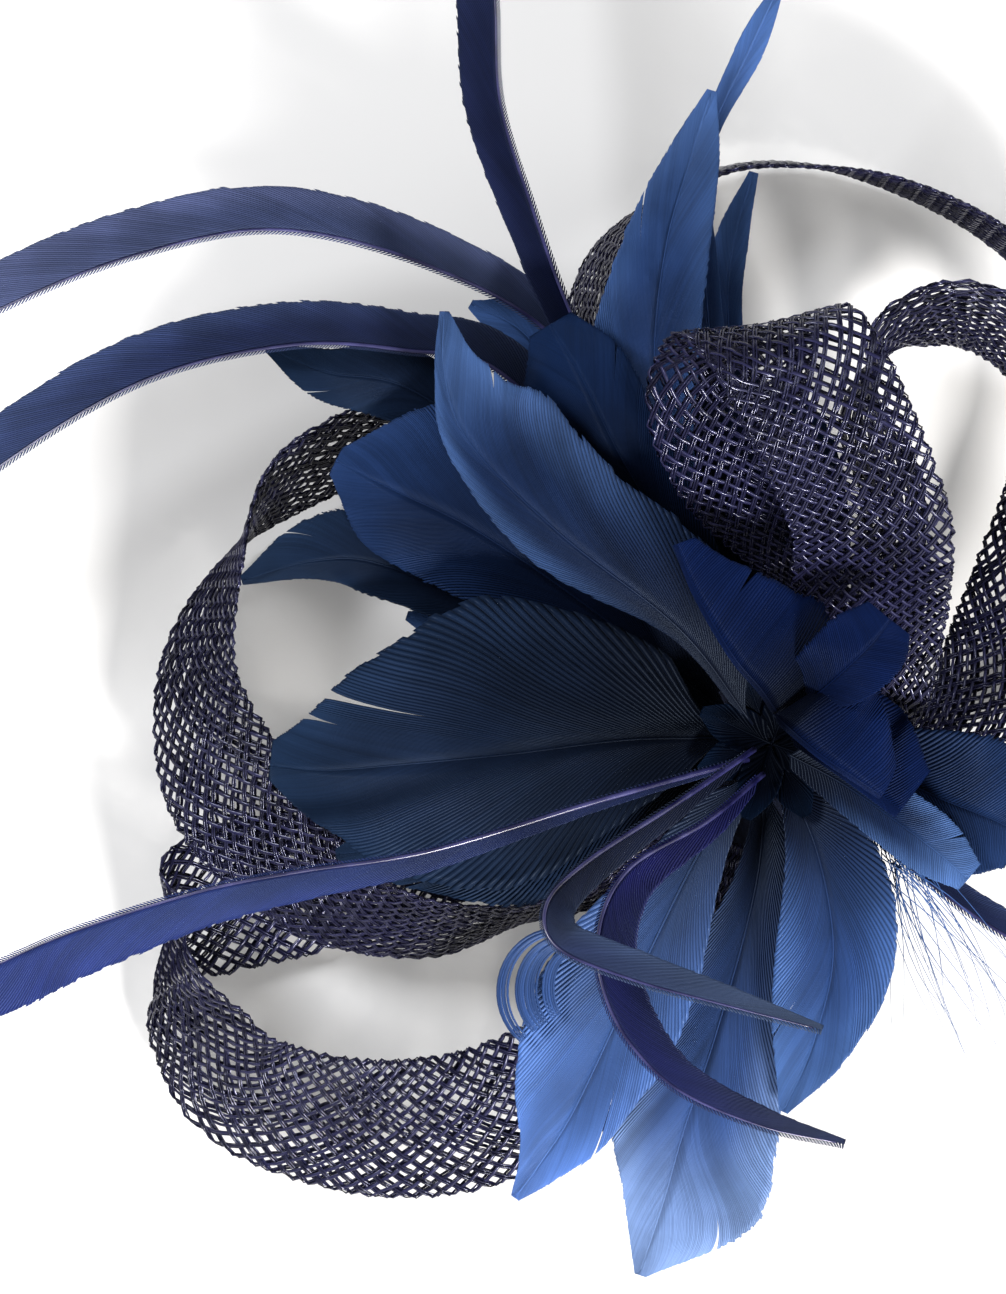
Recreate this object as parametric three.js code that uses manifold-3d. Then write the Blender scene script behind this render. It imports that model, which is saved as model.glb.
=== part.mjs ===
// Feather flower fascinator: a felt-backed base with a hair clip and a brooch pin under it,
// loops of tubular crin braid, stripped quills and a flower of goose feather petals.
// Millimetres, +Z up. The origin is the middle of the felt's underside, where the head is.
import * as THREE from 'three';
import * as BufferGeometryUtils from 'three/addons/utils/BufferGeometryUtils.js';
import Module from 'manifold-3d';

const wasm = await Module();
wasm.setup();

// Driving dimensions
const FELT_RADIUS = 29;
const FELT_THICKNESS = 1.2;
const SEWN_RADIUS = 20;
const DISC_SIDES = 40;
const DISC_RADIUS = 27;
const DISC_THICKNESS = 2.6;
const STEM_RADIUS = 3.6;
const STEM_HEIGHT = 17;
const STEM_SIDES = 16;
const STEM_FOOT_FLARE = 2;
const STEM_FOOT_HEIGHT = 2;
const STEM_TOP_CHAMFER = 1;
const LAYER_GAP = 0.1;
const BRAID_WIDTH = 32;
const BRAID_THICKNESS = 1.2;
const BRAID_STEPS = 36;
const FEATHER_THICKNESS = 0.7;
const FEATHER_STEPS = 12;
const FEATHER_CELLS = 4;
const QUILL_STEPS = 16;
const QUILL_CELLS = 2;
const SHAFT_HALF_WIDTH = 0.9;

const CLIP_LENGTH = 46;
const CLIP_WIDTH = 9;
const SHEET_METAL = 0.8;
const PIN_SIDES = 16;
const CLIP_HINGE = { x: 11, z: -4.4 };
const CLIP_PIN_RADIUS = 0.8;
const CLIP_PIN_OVERHANG = 0.5;
const CLIP_EAR_RADIUS = 2;
const EAR_THICKNESS = 0.8;
const JAW_SIDE_GAP = 0.4;
const JAW_DROP = 2.7;
const JAW_EAR_REACH = 1.8;
const JAW_FLAT_BEFORE_HINGE = 12;
const JAW_FLAT_AFTER_HINGE = 3;
const EAR_SIDES = 6;
const BEAK_INSET = 1;
const BEAK_LENGTH = 8;
const BEAK_GAP = 0.3;
const BEAK_BEND = 2.2;
const TAB_OVERHANG = 3;
const TAB_BEND = 2.2;
const COIL_WIRE_RADIUS = 0.3;
const COIL_PIN_GAP = 0.2;
const COIL_TURNS = 5;
const COIL_STEPS_PER_TURN = 10;
const COIL_PITCH = 0.72;
const BROOCH_LENGTH = 30;
const BROOCH_WIDTH = 4.4;
const BROOCH_Y = 13;
const BROOCH_HINGE = { x: 13, z: -3.4 };
const BROOCH_WIRE_RADIUS = 0.5;
const BROOCH_WIRE_SIDES = 10;
const BROOCH_RIVET_RADIUS = 0.5;
const BROOCH_RIVET_LENGTH = 4.6;
const BROOCH_EAR_RADIUS = 1.5;
const BROOCH_EAR_Y = 1.5;
const BROOCH_EYE_RADIUS = 1.3;
const BROOCH_EYE_WIDTH = 1.6;
const BROOCH_POINT_LENGTH = 5;
const BROOCH_POINT_INSET = 3;
const CATCH_INSET = 3;
const CATCH_HALF_LENGTH = 2;
const CATCH_Y = 1.4;
const CATCH_HALF_THICKNESS = 0.4;
const CATCH_DROP = 0.8;
const RUNNING_GAP = 0.1;
const WELD_OVERLAP = 0.2;
const HOLE_OVERRUN = 2;

const DISC_TOP = FELT_THICKNESS + LAYER_GAP + DISC_THICKNESS;
const STEM_TOP = DISC_TOP + LAYER_GAP + STEM_HEIGHT;

const group = new THREE.Group();

// Materials
const surface = (color, roughness, metalness) =>
  new THREE.MeshStandardMaterial({ color, roughness, metalness, side: THREE.DoubleSide });
const feltCloth = () => surface(0x141a33, 0.95, 0);
const braid = () => surface(0x23243f, 0.35, 0.2);
const thread = () => surface(0x0d1228, 0.8, 0);
const petalVane = () => surface(0x1f3f7c, 0.5, 0);
const quillVane = () => surface(0x2a3388, 0.45, 0);
const steel = () => surface(0xb8bcc2, 0.3, 1);

function addPart(name, geometry, material) {
  const mesh = new THREE.Mesh(geometry, material);
  mesh.name = name;
  group.add(mesh);
}

// ---------------------------------------------------------------- shape helpers

const vector = (point) => new THREE.Vector3(...point);
const UP = new THREE.Vector3(0, 0, 1);

function smoothCurve(points) {
  return new THREE.CatmullRomCurve3(points.map(vector), false, 'catmullrom', 0.5);
}

// A closed slab of even thickness around a grid of points, grid[row][column].
function slab(grid, thickness) {
  const rows = grid.length;
  const columns = grid[0].length;
  const positions = [];
  for (const side of [0.5, -0.5]) {
    for (let i = 0; i < rows; i += 1) {
      for (let j = 0; j < columns; j += 1) {
        const along = grid[Math.min(i + 1, rows - 1)][j].clone().sub(grid[Math.max(i - 1, 0)][j]);
        const over = grid[i][Math.min(j + 1, columns - 1)].clone().sub(grid[i][Math.max(j - 1, 0)]);
        const normal = along.cross(over).normalize();
        positions.push(...grid[i][j].clone().addScaledVector(normal, side * thickness).toArray());
      }
    }
  }
  const index = [];
  const quad = (a, b, c, d) => index.push(a, b, c, a, c, d);
  const top = (i, j) => i * columns + j;
  const bottom = (i, j) => rows * columns + i * columns + j;
  for (let i = 0; i < rows - 1; i += 1) {
    for (let j = 0; j < columns - 1; j += 1) {
      quad(top(i, j), top(i + 1, j), top(i + 1, j + 1), top(i, j + 1));
      quad(bottom(i, j), bottom(i, j + 1), bottom(i + 1, j + 1), bottom(i + 1, j));
    }
    quad(top(i, 0), bottom(i, 0), bottom(i + 1, 0), top(i + 1, 0));
    quad(top(i, columns - 1), top(i + 1, columns - 1), bottom(i + 1, columns - 1), bottom(i, columns - 1));
  }
  for (let j = 0; j < columns - 1; j += 1) {
    quad(top(0, j), top(0, j + 1), bottom(0, j + 1), bottom(0, j));
    quad(top(rows - 1, j), bottom(rows - 1, j), bottom(rows - 1, j + 1), top(rows - 1, j + 1));
  }
  const geometry = new THREE.BufferGeometry();
  geometry.setAttribute('position', new THREE.Float32BufferAttribute(positions, 3));
  geometry.setIndex(index);
  return geometry;
}

// A flat band. Each station is [x, y, z, across x, across y, across z, width].
function band(stations) {
  const middle = smoothCurve(stations.map((s) => s.slice(0, 3)));
  const across = smoothCurve(stations.map((s) => s.slice(3, 6)));
  const width = smoothCurve(stations.map((s) => [s[6], 0, 0]));
  const grid = [];
  for (let i = 0; i <= BRAID_STEPS; i += 1) {
    const t = i / BRAID_STEPS;
    const tangent = middle.getTangent(t);
    const direction = across.getPoint(t);
    direction.addScaledVector(tangent, -direction.dot(tangent)).normalize();
    const half = width.getPoint(t).x / 2;
    const centre = middle.getPoint(t);
    grid.push([1, -1].map((side) => centre.clone().addScaledVector(direction, side * half)));
  }
  return slab(grid, BRAID_THICKNESS);
}

// A feather's vane around its shaft. Each station is [x, y, z, left, right]: a point on the shaft
// and the vane's half widths there, seen from above and looking from the base to the tip.
// roll turns the vane about the shaft in degrees, and cup lifts its edges, both from base to tip.
function feather({ stations, roll = [0, 0], cup = [0, 0] }, steps, cells) {
  const shaft = smoothCurve(stations.map((s) => s.slice(0, 3)));
  const widths = smoothCurve(stations.map((s) => [s[3], s[4], 0]));
  const grid = [];
  for (let i = 0; i <= steps; i += 1) {
    const t = i / steps;
    const tangent = shaft.getTangent(t);
    const turn = THREE.MathUtils.degToRad(THREE.MathUtils.lerp(roll[0], roll[1], t));
    const side = UP.clone().cross(tangent).normalize().applyAxisAngle(tangent, turn);
    const normal = tangent.clone().cross(side).normalize();
    const centre = shaft.getPoint(t);
    const width = widths.getPoint(t);
    const lift = THREE.MathUtils.lerp(cup[0], cup[1], t);
    const row = [];
    for (let j = 0; j <= cells; j += 1) {
      const s = 1 - (2 * j) / cells;
      const reach = Math.max(SHAFT_HALF_WIDTH, s > 0 ? width.x : width.y) * s;
      const raised = centre.clone().addScaledVector(normal, lift * Math.abs(reach * s));
      row.push(raised.addScaledVector(side, reach));
    }
    grid.push(row);
  }
  return slab(grid, FEATHER_THICKNESS);
}

// A solid turned round Z from a profile of [radius, height] points.
function turned(profile, sides) {
  const points = profile.map(([radius, height]) => new THREE.Vector2(radius, height));
  return new THREE.LatheGeometry(points, sides).rotateX(Math.PI / 2);
}

// A round disc standing on z = low.
function disc(radius, low, high, sides) {
  const geometry = new THREE.CylinderGeometry(radius, radius, high - low, sides);
  geometry.rotateX(Math.PI / 2);
  return geometry.translate(0, 0, (low + high) / 2);
}

// A pin along Y.
function crossPin(radius, length, x, y, z) {
  return new THREE.CylinderGeometry(radius, radius, length, PIN_SIDES).translate(x, y, z);
}

// A side profile in X and Z, [[x, z], ...] anticlockwise, made width wide around y = middle.
function sidePlate(profile, width, middle) {
  const shape = new THREE.Shape(profile.map(([x, z]) => new THREE.Vector2(x, z)));
  const geometry = new THREE.ExtrudeGeometry(shape, { depth: width, bevelEnabled: false });
  return geometry.rotateX(Math.PI / 2).translate(0, middle + width / 2, 0);
}

function box(from, to) {
  const size = from.map((low, k) => to[k] - low);
  const centre = from.map((low, k) => (low + to[k]) / 2);
  return new THREE.BoxGeometry(...size).translate(...centre);
}

function solid(geometry) {
  const bare = geometry.clone();
  bare.deleteAttribute('normal');
  bare.deleteAttribute('uv');
  const merged = BufferGeometryUtils.mergeVertices(bare, 1e-5);
  return new wasm.Manifold(new wasm.Mesh({
    numProp: 3,
    vertProperties: new Float32Array(merged.attributes.position.array),
    triVerts: new Uint32Array(merged.index.array),
  }));
}

function geometryOf(manifold) {
  const mesh = manifold.getMesh();
  const geometry = new THREE.BufferGeometry();
  geometry.setAttribute('position', new THREE.Float32BufferAttribute(Array.from(mesh.vertProperties), 3));
  geometry.setIndex(Array.from(mesh.triVerts));
  return geometry;
}

function joined(pieces, holes = []) {
  let body = solid(pieces[0]);
  for (const piece of pieces.slice(1)) {
    body = body.add(solid(piece));
  }
  for (const hole of holes) {
    body = body.subtract(solid(hole));
  }
  return geometryOf(body);
}

// ---------------------------------------------------------------- base

function addBase() {
  // The felt's underside is two rings: the clip and the pin are sewn inside the inner one.
  addPart('felt_backing', turned([
    [0, 0], [SEWN_RADIUS, 0], [FELT_RADIUS, 0], [FELT_RADIUS, FELT_THICKNESS], [0, FELT_THICKNESS],
  ], DISC_SIDES), feltCloth());
  addPart('base_disc', disc(DISC_RADIUS, FELT_THICKNESS + LAYER_GAP, DISC_TOP, DISC_SIDES), feltCloth());
  const low = DISC_TOP + LAYER_GAP;
  const foot = low + STEM_FOOT_HEIGHT;
  addPart('flower_stem', turned([
    [0, low], [STEM_RADIUS + STEM_FOOT_FLARE, low], [STEM_RADIUS + 0.6 * STEM_FOOT_FLARE, foot],
    [STEM_RADIUS, foot + STEM_FOOT_HEIGHT], [STEM_RADIUS, STEM_TOP - STEM_TOP_CHAMFER],
    [STEM_RADIUS - STEM_TOP_CHAMFER, STEM_TOP], [0, STEM_TOP],
  ], STEM_SIDES), thread());
}

// ---------------------------------------------------------------- hair clip

// A round-ended ear in X and Z that hangs from top down to the pin.
function ear(x, z, radius, top, y) {
  const profile = [[x - radius, top], [x + radius, top], [x + radius, z]];
  for (let k = 1; k < EAR_SIDES; k += 1) {
    const angle = -(k / EAR_SIDES) * Math.PI;
    profile.push([x + radius * Math.cos(angle), z + radius * Math.sin(angle)]);
  }
  profile.push([x - radius, z]);
  return sidePlate(profile.reverse(), EAR_THICKNESS, y);
}

const PLATE_TOP = -LAYER_GAP;
const PLATE_LOW = PLATE_TOP - SHEET_METAL;
const CLIP_PIN_LENGTH = CLIP_WIDTH + 2 * CLIP_PIN_OVERHANG;

function clipHole() {
  const radius = CLIP_PIN_RADIUS + RUNNING_GAP;
  return crossPin(radius, CLIP_PIN_LENGTH + HOLE_OVERRUN, CLIP_HINGE.x, 0, CLIP_HINGE.z);
}

function addClipPlate() {
  const { x, z } = CLIP_HINGE;
  const half = CLIP_LENGTH / 2;
  const earY = (CLIP_WIDTH - EAR_THICKNESS) / 2;
  const earTop = PLATE_LOW + WELD_OVERLAP;
  addPart('clip_plate', joined([
    box([-half, -CLIP_WIDTH / 2, PLATE_LOW], [half, CLIP_WIDTH / 2, PLATE_TOP]),
    ear(x, z, CLIP_EAR_RADIUS, earTop, earY),
    ear(x, z, CLIP_EAR_RADIUS, earTop, -earY),
  ], [clipHole()]), steel());
  addPart('clip_hinge_pin', crossPin(CLIP_PIN_RADIUS, CLIP_PIN_LENGTH, x, 0, z), steel());
}

// The jaw meets the plate at its beak and bends away behind the hinge as a thumb tab.
function addClipJaw() {
  const { x, z } = CLIP_HINGE;
  const half = CLIP_LENGTH / 2;
  const width = CLIP_WIDTH - 2 * (EAR_THICKNESS + JAW_SIDE_GAP);
  const tip = -half + BEAK_INSET;
  const end = half + TAB_OVERHANG;
  const low = z - JAW_DROP;
  const flatStart = x - JAW_FLAT_BEFORE_HINGE;
  const flatEnd = x + JAW_FLAT_AFTER_HINGE;
  const beakTop = PLATE_LOW - BEAK_GAP;
  const bendTop = PLATE_LOW - BEAK_BEND;
  const profile = [
    [tip, beakTop], [tip + BEAK_LENGTH, bendTop], [flatStart, low + SHEET_METAL],
    [flatEnd, low + SHEET_METAL], [end, low - TAB_BEND + SHEET_METAL],
    [end, low - TAB_BEND], [flatEnd, low], [flatStart, low],
    [tip + BEAK_LENGTH, bendTop - SHEET_METAL], [tip, beakTop - SHEET_METAL],
  ];
  const earY = (width - EAR_THICKNESS) / 2;
  const jawEar = (y) => box(
    [x - JAW_EAR_REACH, y - EAR_THICKNESS / 2, low + WELD_OVERLAP],
    [x + JAW_EAR_REACH, y + EAR_THICKNESS / 2, z + JAW_EAR_REACH],
  );
  addPart('clip_jaw', joined([
    sidePlate(profile.reverse(), width, 0), jawEar(earY), jawEar(-earY),
  ], [clipHole()]), steel());
}

// The torsion spring's coil sits on the pin between the jaw's ears.
function addClipSpring() {
  const { x, z } = CLIP_HINGE;
  const radius = CLIP_PIN_RADIUS + COIL_PIN_GAP + COIL_WIRE_RADIUS;
  const steps = COIL_TURNS * COIL_STEPS_PER_TURN;
  const points = [];
  for (let k = 0; k <= steps; k += 1) {
    const angle = (2 * Math.PI * k) / COIL_STEPS_PER_TURN;
    const y = (k / steps - 0.5) * COIL_TURNS * COIL_PITCH;
    points.push([x + radius * Math.cos(angle), y, z + radius * Math.sin(angle)]);
  }
  const wireOutline = new THREE.Shape();
  wireOutline.absarc(0, 0, COIL_WIRE_RADIUS, 0, 2 * Math.PI);
  addPart('clip_spring', new THREE.ExtrudeGeometry(wireOutline, {
    steps, curveSegments: 3, bevelEnabled: false, extrudePath: smoothCurve(points),
  }), steel());
}

// ---------------------------------------------------------------- brooch pin

function broochHole() {
  const radius = BROOCH_RIVET_RADIUS + RUNNING_GAP;
  const length = BROOCH_RIVET_LENGTH + HOLE_OVERRUN;
  return crossPin(radius, length, BROOCH_HINGE.x, BROOCH_Y, BROOCH_HINGE.z);
}

function addBroochBar() {
  const { x, z } = BROOCH_HINGE;
  const half = BROOCH_LENGTH / 2;
  const top = PLATE_LOW + WELD_OVERLAP;
  const catchX = CATCH_INSET - half;
  const catchLip = (y) => box(
    [catchX - CATCH_HALF_LENGTH, y - CATCH_HALF_THICKNESS, z - CATCH_DROP],
    [catchX + CATCH_HALF_LENGTH, y + CATCH_HALF_THICKNESS, top],
  );
  addPart('brooch_bar', joined([
    box([-half, BROOCH_Y - BROOCH_WIDTH / 2, PLATE_LOW], [half, BROOCH_Y + BROOCH_WIDTH / 2, PLATE_TOP]),
    ear(x, z, BROOCH_EAR_RADIUS, top, BROOCH_Y + BROOCH_EAR_Y),
    ear(x, z, BROOCH_EAR_RADIUS, top, BROOCH_Y - BROOCH_EAR_Y),
    catchLip(BROOCH_Y + CATCH_Y), catchLip(BROOCH_Y - CATCH_Y),
  ], [broochHole()]), steel());
  addPart('brooch_rivet', crossPin(BROOCH_RIVET_RADIUS, BROOCH_RIVET_LENGTH, x, BROOCH_Y, z), steel());
}

// The pin is a sharpened wire with a flattened eye round the rivet.
function addBroochPin() {
  const { x, z } = BROOCH_HINGE;
  const length = BROOCH_LENGTH - BROOCH_POINT_INSET;
  const wire = new THREE.LatheGeometry([
    new THREE.Vector2(0, 0), new THREE.Vector2(BROOCH_WIRE_RADIUS, 0),
    new THREE.Vector2(BROOCH_WIRE_RADIUS, length - BROOCH_POINT_LENGTH), new THREE.Vector2(0, length),
  ], BROOCH_WIRE_SIDES).rotateZ(Math.PI / 2).translate(x, BROOCH_Y, z);
  const eye = crossPin(BROOCH_EYE_RADIUS, BROOCH_EYE_WIDTH, x, BROOCH_Y, z);
  addPart('brooch_pin', joined([eye, wire], [broochHole()]), steel());
}

// ---------------------------------------------------------------- crin braid loops

// Each loop leaves the base gathered narrow, opens to the braid's full width and comes back.
const W = BRAID_WIDTH;
const LOOPS = {
  left_loop: [
    [-19, 11, 5.3, 0.5, 0.87, 0, 7],
    [-33, 26, 7, 0.6, 0.7, 0.3, 18],
    [-51, 49, 9, 0.3, 0.6, 0.7, 28],
    [-72, 62, 10, -0.1, 0.5, 0.85, W],
    [-95, 55, 10, -0.25, 0.3, 0.93, W],
    [-110, 37, 12, 0.28, 0.18, 0.94, W],
    [-117, 13, 16, 0.55, 0.02, 0.83, W],
    [-109, -11, 20, 0.8, 0.28, 0.52, W],
    [-90, -31, 20, 0.5, 0.45, 0.74, W],
    [-69, -38, 17, 0, 0.4, 0.92, W],
    [-47, -34, 13, -0.05, 0.12, 0.99, W],
    [-29, -25, 9, -0.3, 0.5, 0.8, 18],
    [-15.5, -15.5, 5.3, -0.7, 0.7, 0, 7],
  ],
  lower_left_loop: [
    [-21.5, -4, 5.3, 0, 1, 0, 7],
    [-36, -8, 5, -0.1, 0.95, 0.1, 16],
    [-55, -15, 2, -0.1, 0.9, 0.2, 26],
    [-75, -22, 0, -0.1, 0.9, 0.25, W],
    [-93, -28, -1, -0.1, 0.9, 0.25, W],
    [-110, -32, 0, -0.1, 0.92, 0.25, W],
    [-122, -37, 4, 0.12, 0.8, 0.42, W],
    [-122, -48, 11, 0.25, 0.45, 0.85, W],
    [-116, -60, 11, 0.52, 0.45, 0.72, W],
    [-107, -71, 9, 0.47, 0.68, 0.56, W],
    [-92, -77, 8, 0.25, 0.84, 0.48, W],
    [-74, -79, 7, 0.08, 0.92, 0.38, W],
    [-54, -75, 7, -0.06, 0.92, 0.38, W],
    [-32, -61, 8, -0.3, 0.75, 0.55, W],
    [-14, -40, 9, -0.6, 0.5, 0.6, 24],
    [-5.7, -21, 5.3, -0.97, 0.26, 0, 7],
  ],
  front_loop: [
    [12, 18.5, 6, 0.9, -0.4, 0, 7],
    [7, 33, 25, 0.95, -0.1, 0.1, 16],
    [-3, 50, 44, 0.95, 0.1, 0, 28],
    [-10, 66, 54, 0.95, 0.2, 0, W],
    [-9, 76, 61, 0.98, 0.15, 0, W],
    [-5, 82, 72, 0.98, 0.15, -0.05, W],
    [2, 77, 80, 0.98, 0.12, -0.1, W],
    [10, 62, 77, 0.99, 0.05, -0.05, W],
    [18, 44, 63, 1, 0, 0, W],
    [19, 31, 47, 0.99, -0.05, -0.1, W],
    [21, 17, 30, 0.96, -0.1, -0.2, 26],
    [24, 6, 13, 0.5, -0.8, 0, 12],
    [20.5, 4, 5.6, 0.2, -0.97, 0, 7],
  ],
  right_loop: [
    [17.5, 12.5, 5.5, 0.58, -0.8, 0, 7],
    [24, 29, 9, 0.7, -0.3, 0.5, 18],
    [25, 50, 12, 0.4, 0.1, 0.9, 28],
    [20, 67, 14, 0.25, 0.2, 0.92, W],
    [25, 82, 18, -0.05, 0.32, 0.92, W],
    [39, 87, 21, 0.02, 0.38, 0.92, W],
    [54, 78, 20, 0.25, 0.32, 0.9, W],
    [58, 57, 18, 0.5, 0.15, 0.85, W],
    [54, 35, 15, 0.7, -0.05, 0.7, W],
    [48, 17, 12, 0.7, -0.35, 0.6, W],
    [36, 4, 9, 0.3, -0.8, 0.4, 20],
    [21, -5.5, 5.8, -0.2, -0.97, 0, 7],
  ],
  top_loop: [
    [-11, 19, 5.3, 0.87, 0.5, 0, 7],
    [-21, 39, 6, 0.87, 0.45, 0.2, 18],
    [-31, 61, 8, 0.7, 0.2, 0.6, 28],
    [-37, 81, 10, 0.35, 0, 0.93, W],
    [-33, 98, 10, 0.25, -0.15, 0.95, W],
    [-22, 110, 10, 0.1, -0.1, 0.99, W],
    [-9, 117, 10, 0, -0.08, 1, W],
    [7, 118, 10, 0, -0.08, 1, W],
    [26, 114, 10, 0, 0.02, 1, W],
    [46, 104, 10, 0.03, 0.06, 0.99, W],
    [64, 87, 10, 0.08, 0.1, 0.98, W],
    [76, 60, 10, 0.2, 0.1, 0.97, W],
    [79, 32, 9, 0.2, -0.05, 0.97, W],
    [68, 6, 8, 0.1, -0.3, 0.95, 28],
    [42, -13, 7, -0.1, -0.6, 0.6, 18],
    [17, -14, 5.5, -0.5, -0.86, 0, 7],
  ],
};

function addLoops() {
  for (const [name, stations] of Object.entries(LOOPS)) {
    addPart(name, band(stations), braid());
  }
}

// ---------------------------------------------------------------- feathers

const PETALS = {
  left_petal: {
    stations: [
      [-5, 1, 21, 1, 1], [-28, 1, 31, 14, 22], [-54, -2, 37, 27, 33], [-76, -4, 40, 23, 24],
      [-90, -5, 41, 12, 15], [-101, -4, 41, 3, 5],
    ],
    cup: [0.12, -0.03],
  },
  left_under_petal: {
    stations: [
      [-5, -2, 16, 1, 1], [-30, -9, 26, 10, 8], [-52, -15, 33, 18, 12], [-72, -20, 35, 10, 10],
      [-88, -22, 35, 1, 1],
    ],
    cup: [0.05, 0],
  },
  rolled_petal: {
    stations: [
      [-4, 4, 26, 1, 1], [-19, 23, 42, 2.5, 16], [-43, 42, 52, 8, 17], [-61, 60, 56, 5, 18],
      [-66, 74, 57, 2, 9], [-66, 86, 56, 1, 1],
    ],
    cup: [-0.25, -0.3],
  },
  folded_petal: {
    stations: [
      [-5, 3, 17, 1, 1], [-32, 24, 24, 10, 14], [-58, 42, 30, 14, 24], [-76, 51, 34, 13, 20],
      [-88, 57, 35, 3, 3],
    ],
    cup: [0.05, -0.1],
  },
  narrow_dark_petal: {
    stations: [
      [-5, 2, 13, 1, 1], [-50, 24, 20, 5, 6], [-78, 36, 29, 7, 10], [-92, 37, 32, 4, 9],
      [-107, 33, 32, 1, 1],
    ],
  },
  tall_petal: {
    stations: [
      [-1, 6, 14, 1, 1], [-12, 30, 19, 5, 3], [-20, 52, 27, 8, 5], [-24, 76, 37, 13, 9],
      [-22, 99, 47, 9, 9], [-17, 117, 51, 5, 6], [-13, 130, 52, 1, 1],
    ],
    cup: [-0.1, -0.2],
  },
  twisted_tip_petal: {
    stations: [
      [1.5, 5.5, 9, 1, 1], [-4.5, 30, 14, 2, 2], [-10, 60, 24, 3, 3], [-14, 95, 36, 4, 3],
      [-14, 118, 42, 2, 1.5], [-5, 139, 47, 3, 3], [1, 152, 50, 1, 1],
    ],
    roll: [0, 20],
  },
  upright_petal: {
    stations: [
      [3, 5.5, 7.5, 1, 1], [-1, 27, 9, 2, 2], [-5, 50, 16, 4, 3], [-9, 85, 29, 5, 3],
      [-8, 101, 33, 4, 3], [-4, 115, 34, 1, 1],
    ],
  },
  collar_petal: {
    stations: [
      [-2, 5, 21, 1, 1], [-18, 36, 31, 11, 8], [-31, 58, 40, 15, 10], [-39, 74, 44, 13, 10],
      [-45, 84, 44, 5, 5],
    ],
    cup: [0, -0.1],
  },
  standing_petal: {
    stations: [
      [3, 4, 28, 1, 1], [7, 9, 44, 7, 3], [12, 14, 55, 9, 7], [18, 20, 60, 9, 8],
      [22, 25, 61, 6, 5],
    ],
    cup: [0.1, -0.05],
  },
  curled_petal: {
    stations: [[4, 1, 26, 1, 1], [10, -2, 37, 16, 2], [17, -7, 43, 16, 2], [25, -13, 44, 10, 2]],
    cup: [0, -0.2],
  },
  right_petal: {
    stations: [
      [5, -1, 18, 1, 1], [20, -5, 26, 9, 9], [34, -11, 30, 15, 13], [44, -15, 31, 15, 13],
      [50, -18, 31, 6, 8],
    ],
  },
  lower_left_petal: {
    stations: [
      [-3, -4, 22, 1, 1], [-15, -22, 30, 6, 8], [-29, -50, 35, 13, 18], [-40, -73, 36, 10, 14],
      [-47, -84, 36, 5, 5], [-52, -91, 35, 1, 1],
    ],
  },
  lower_petal: {
    stations: [
      [-1, -5, 15, 1, 1], [-3, -28, 22, 8, 5], [-11, -57, 27, 15, 13], [-18, -78, 29, 20, 15],
      [-22, -92, 29, 19, 9], [-27, -107, 29, 1.5, 1],
    ],
  },
  lower_right_petal: {
    stations: [
      [2, -5, 22, 1, 1], [9, -22, 29, 12, 7], [12, -42, 32, 13, 12], [8, -60, 32, 8, 9],
      [2, -74, 31, 1, 1],
    ],
  },
  back_leaf_petal: {
    stations: [
      [-4, 5, 11, 1, 1], [-45, 50, 22, 5, 5], [-72, 71, 29, 8, 8], [-90, 75, 30, 6, 5],
      [-102, 80, 29, 1, 1],
    ],
  },
  pale_back_petal: {
    stations: [
      [-3.2, 6, 6, 1, 1], [-18, 32, 9, 4, 4], [-34, 60, 17, 6, 6], [-49, 82, 23, 7, 7],
      [-61, 89, 24, 1, 1],
    ],
  },
  side_under_petal: {
    stations: [
      [-5.3, -0.5, 9, 1, 1], [-30, 11, 12, 5, 5], [-55, 20, 14, 8, 8], [-74, 26, 16, 1, 1],
    ],
  },
};

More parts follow.
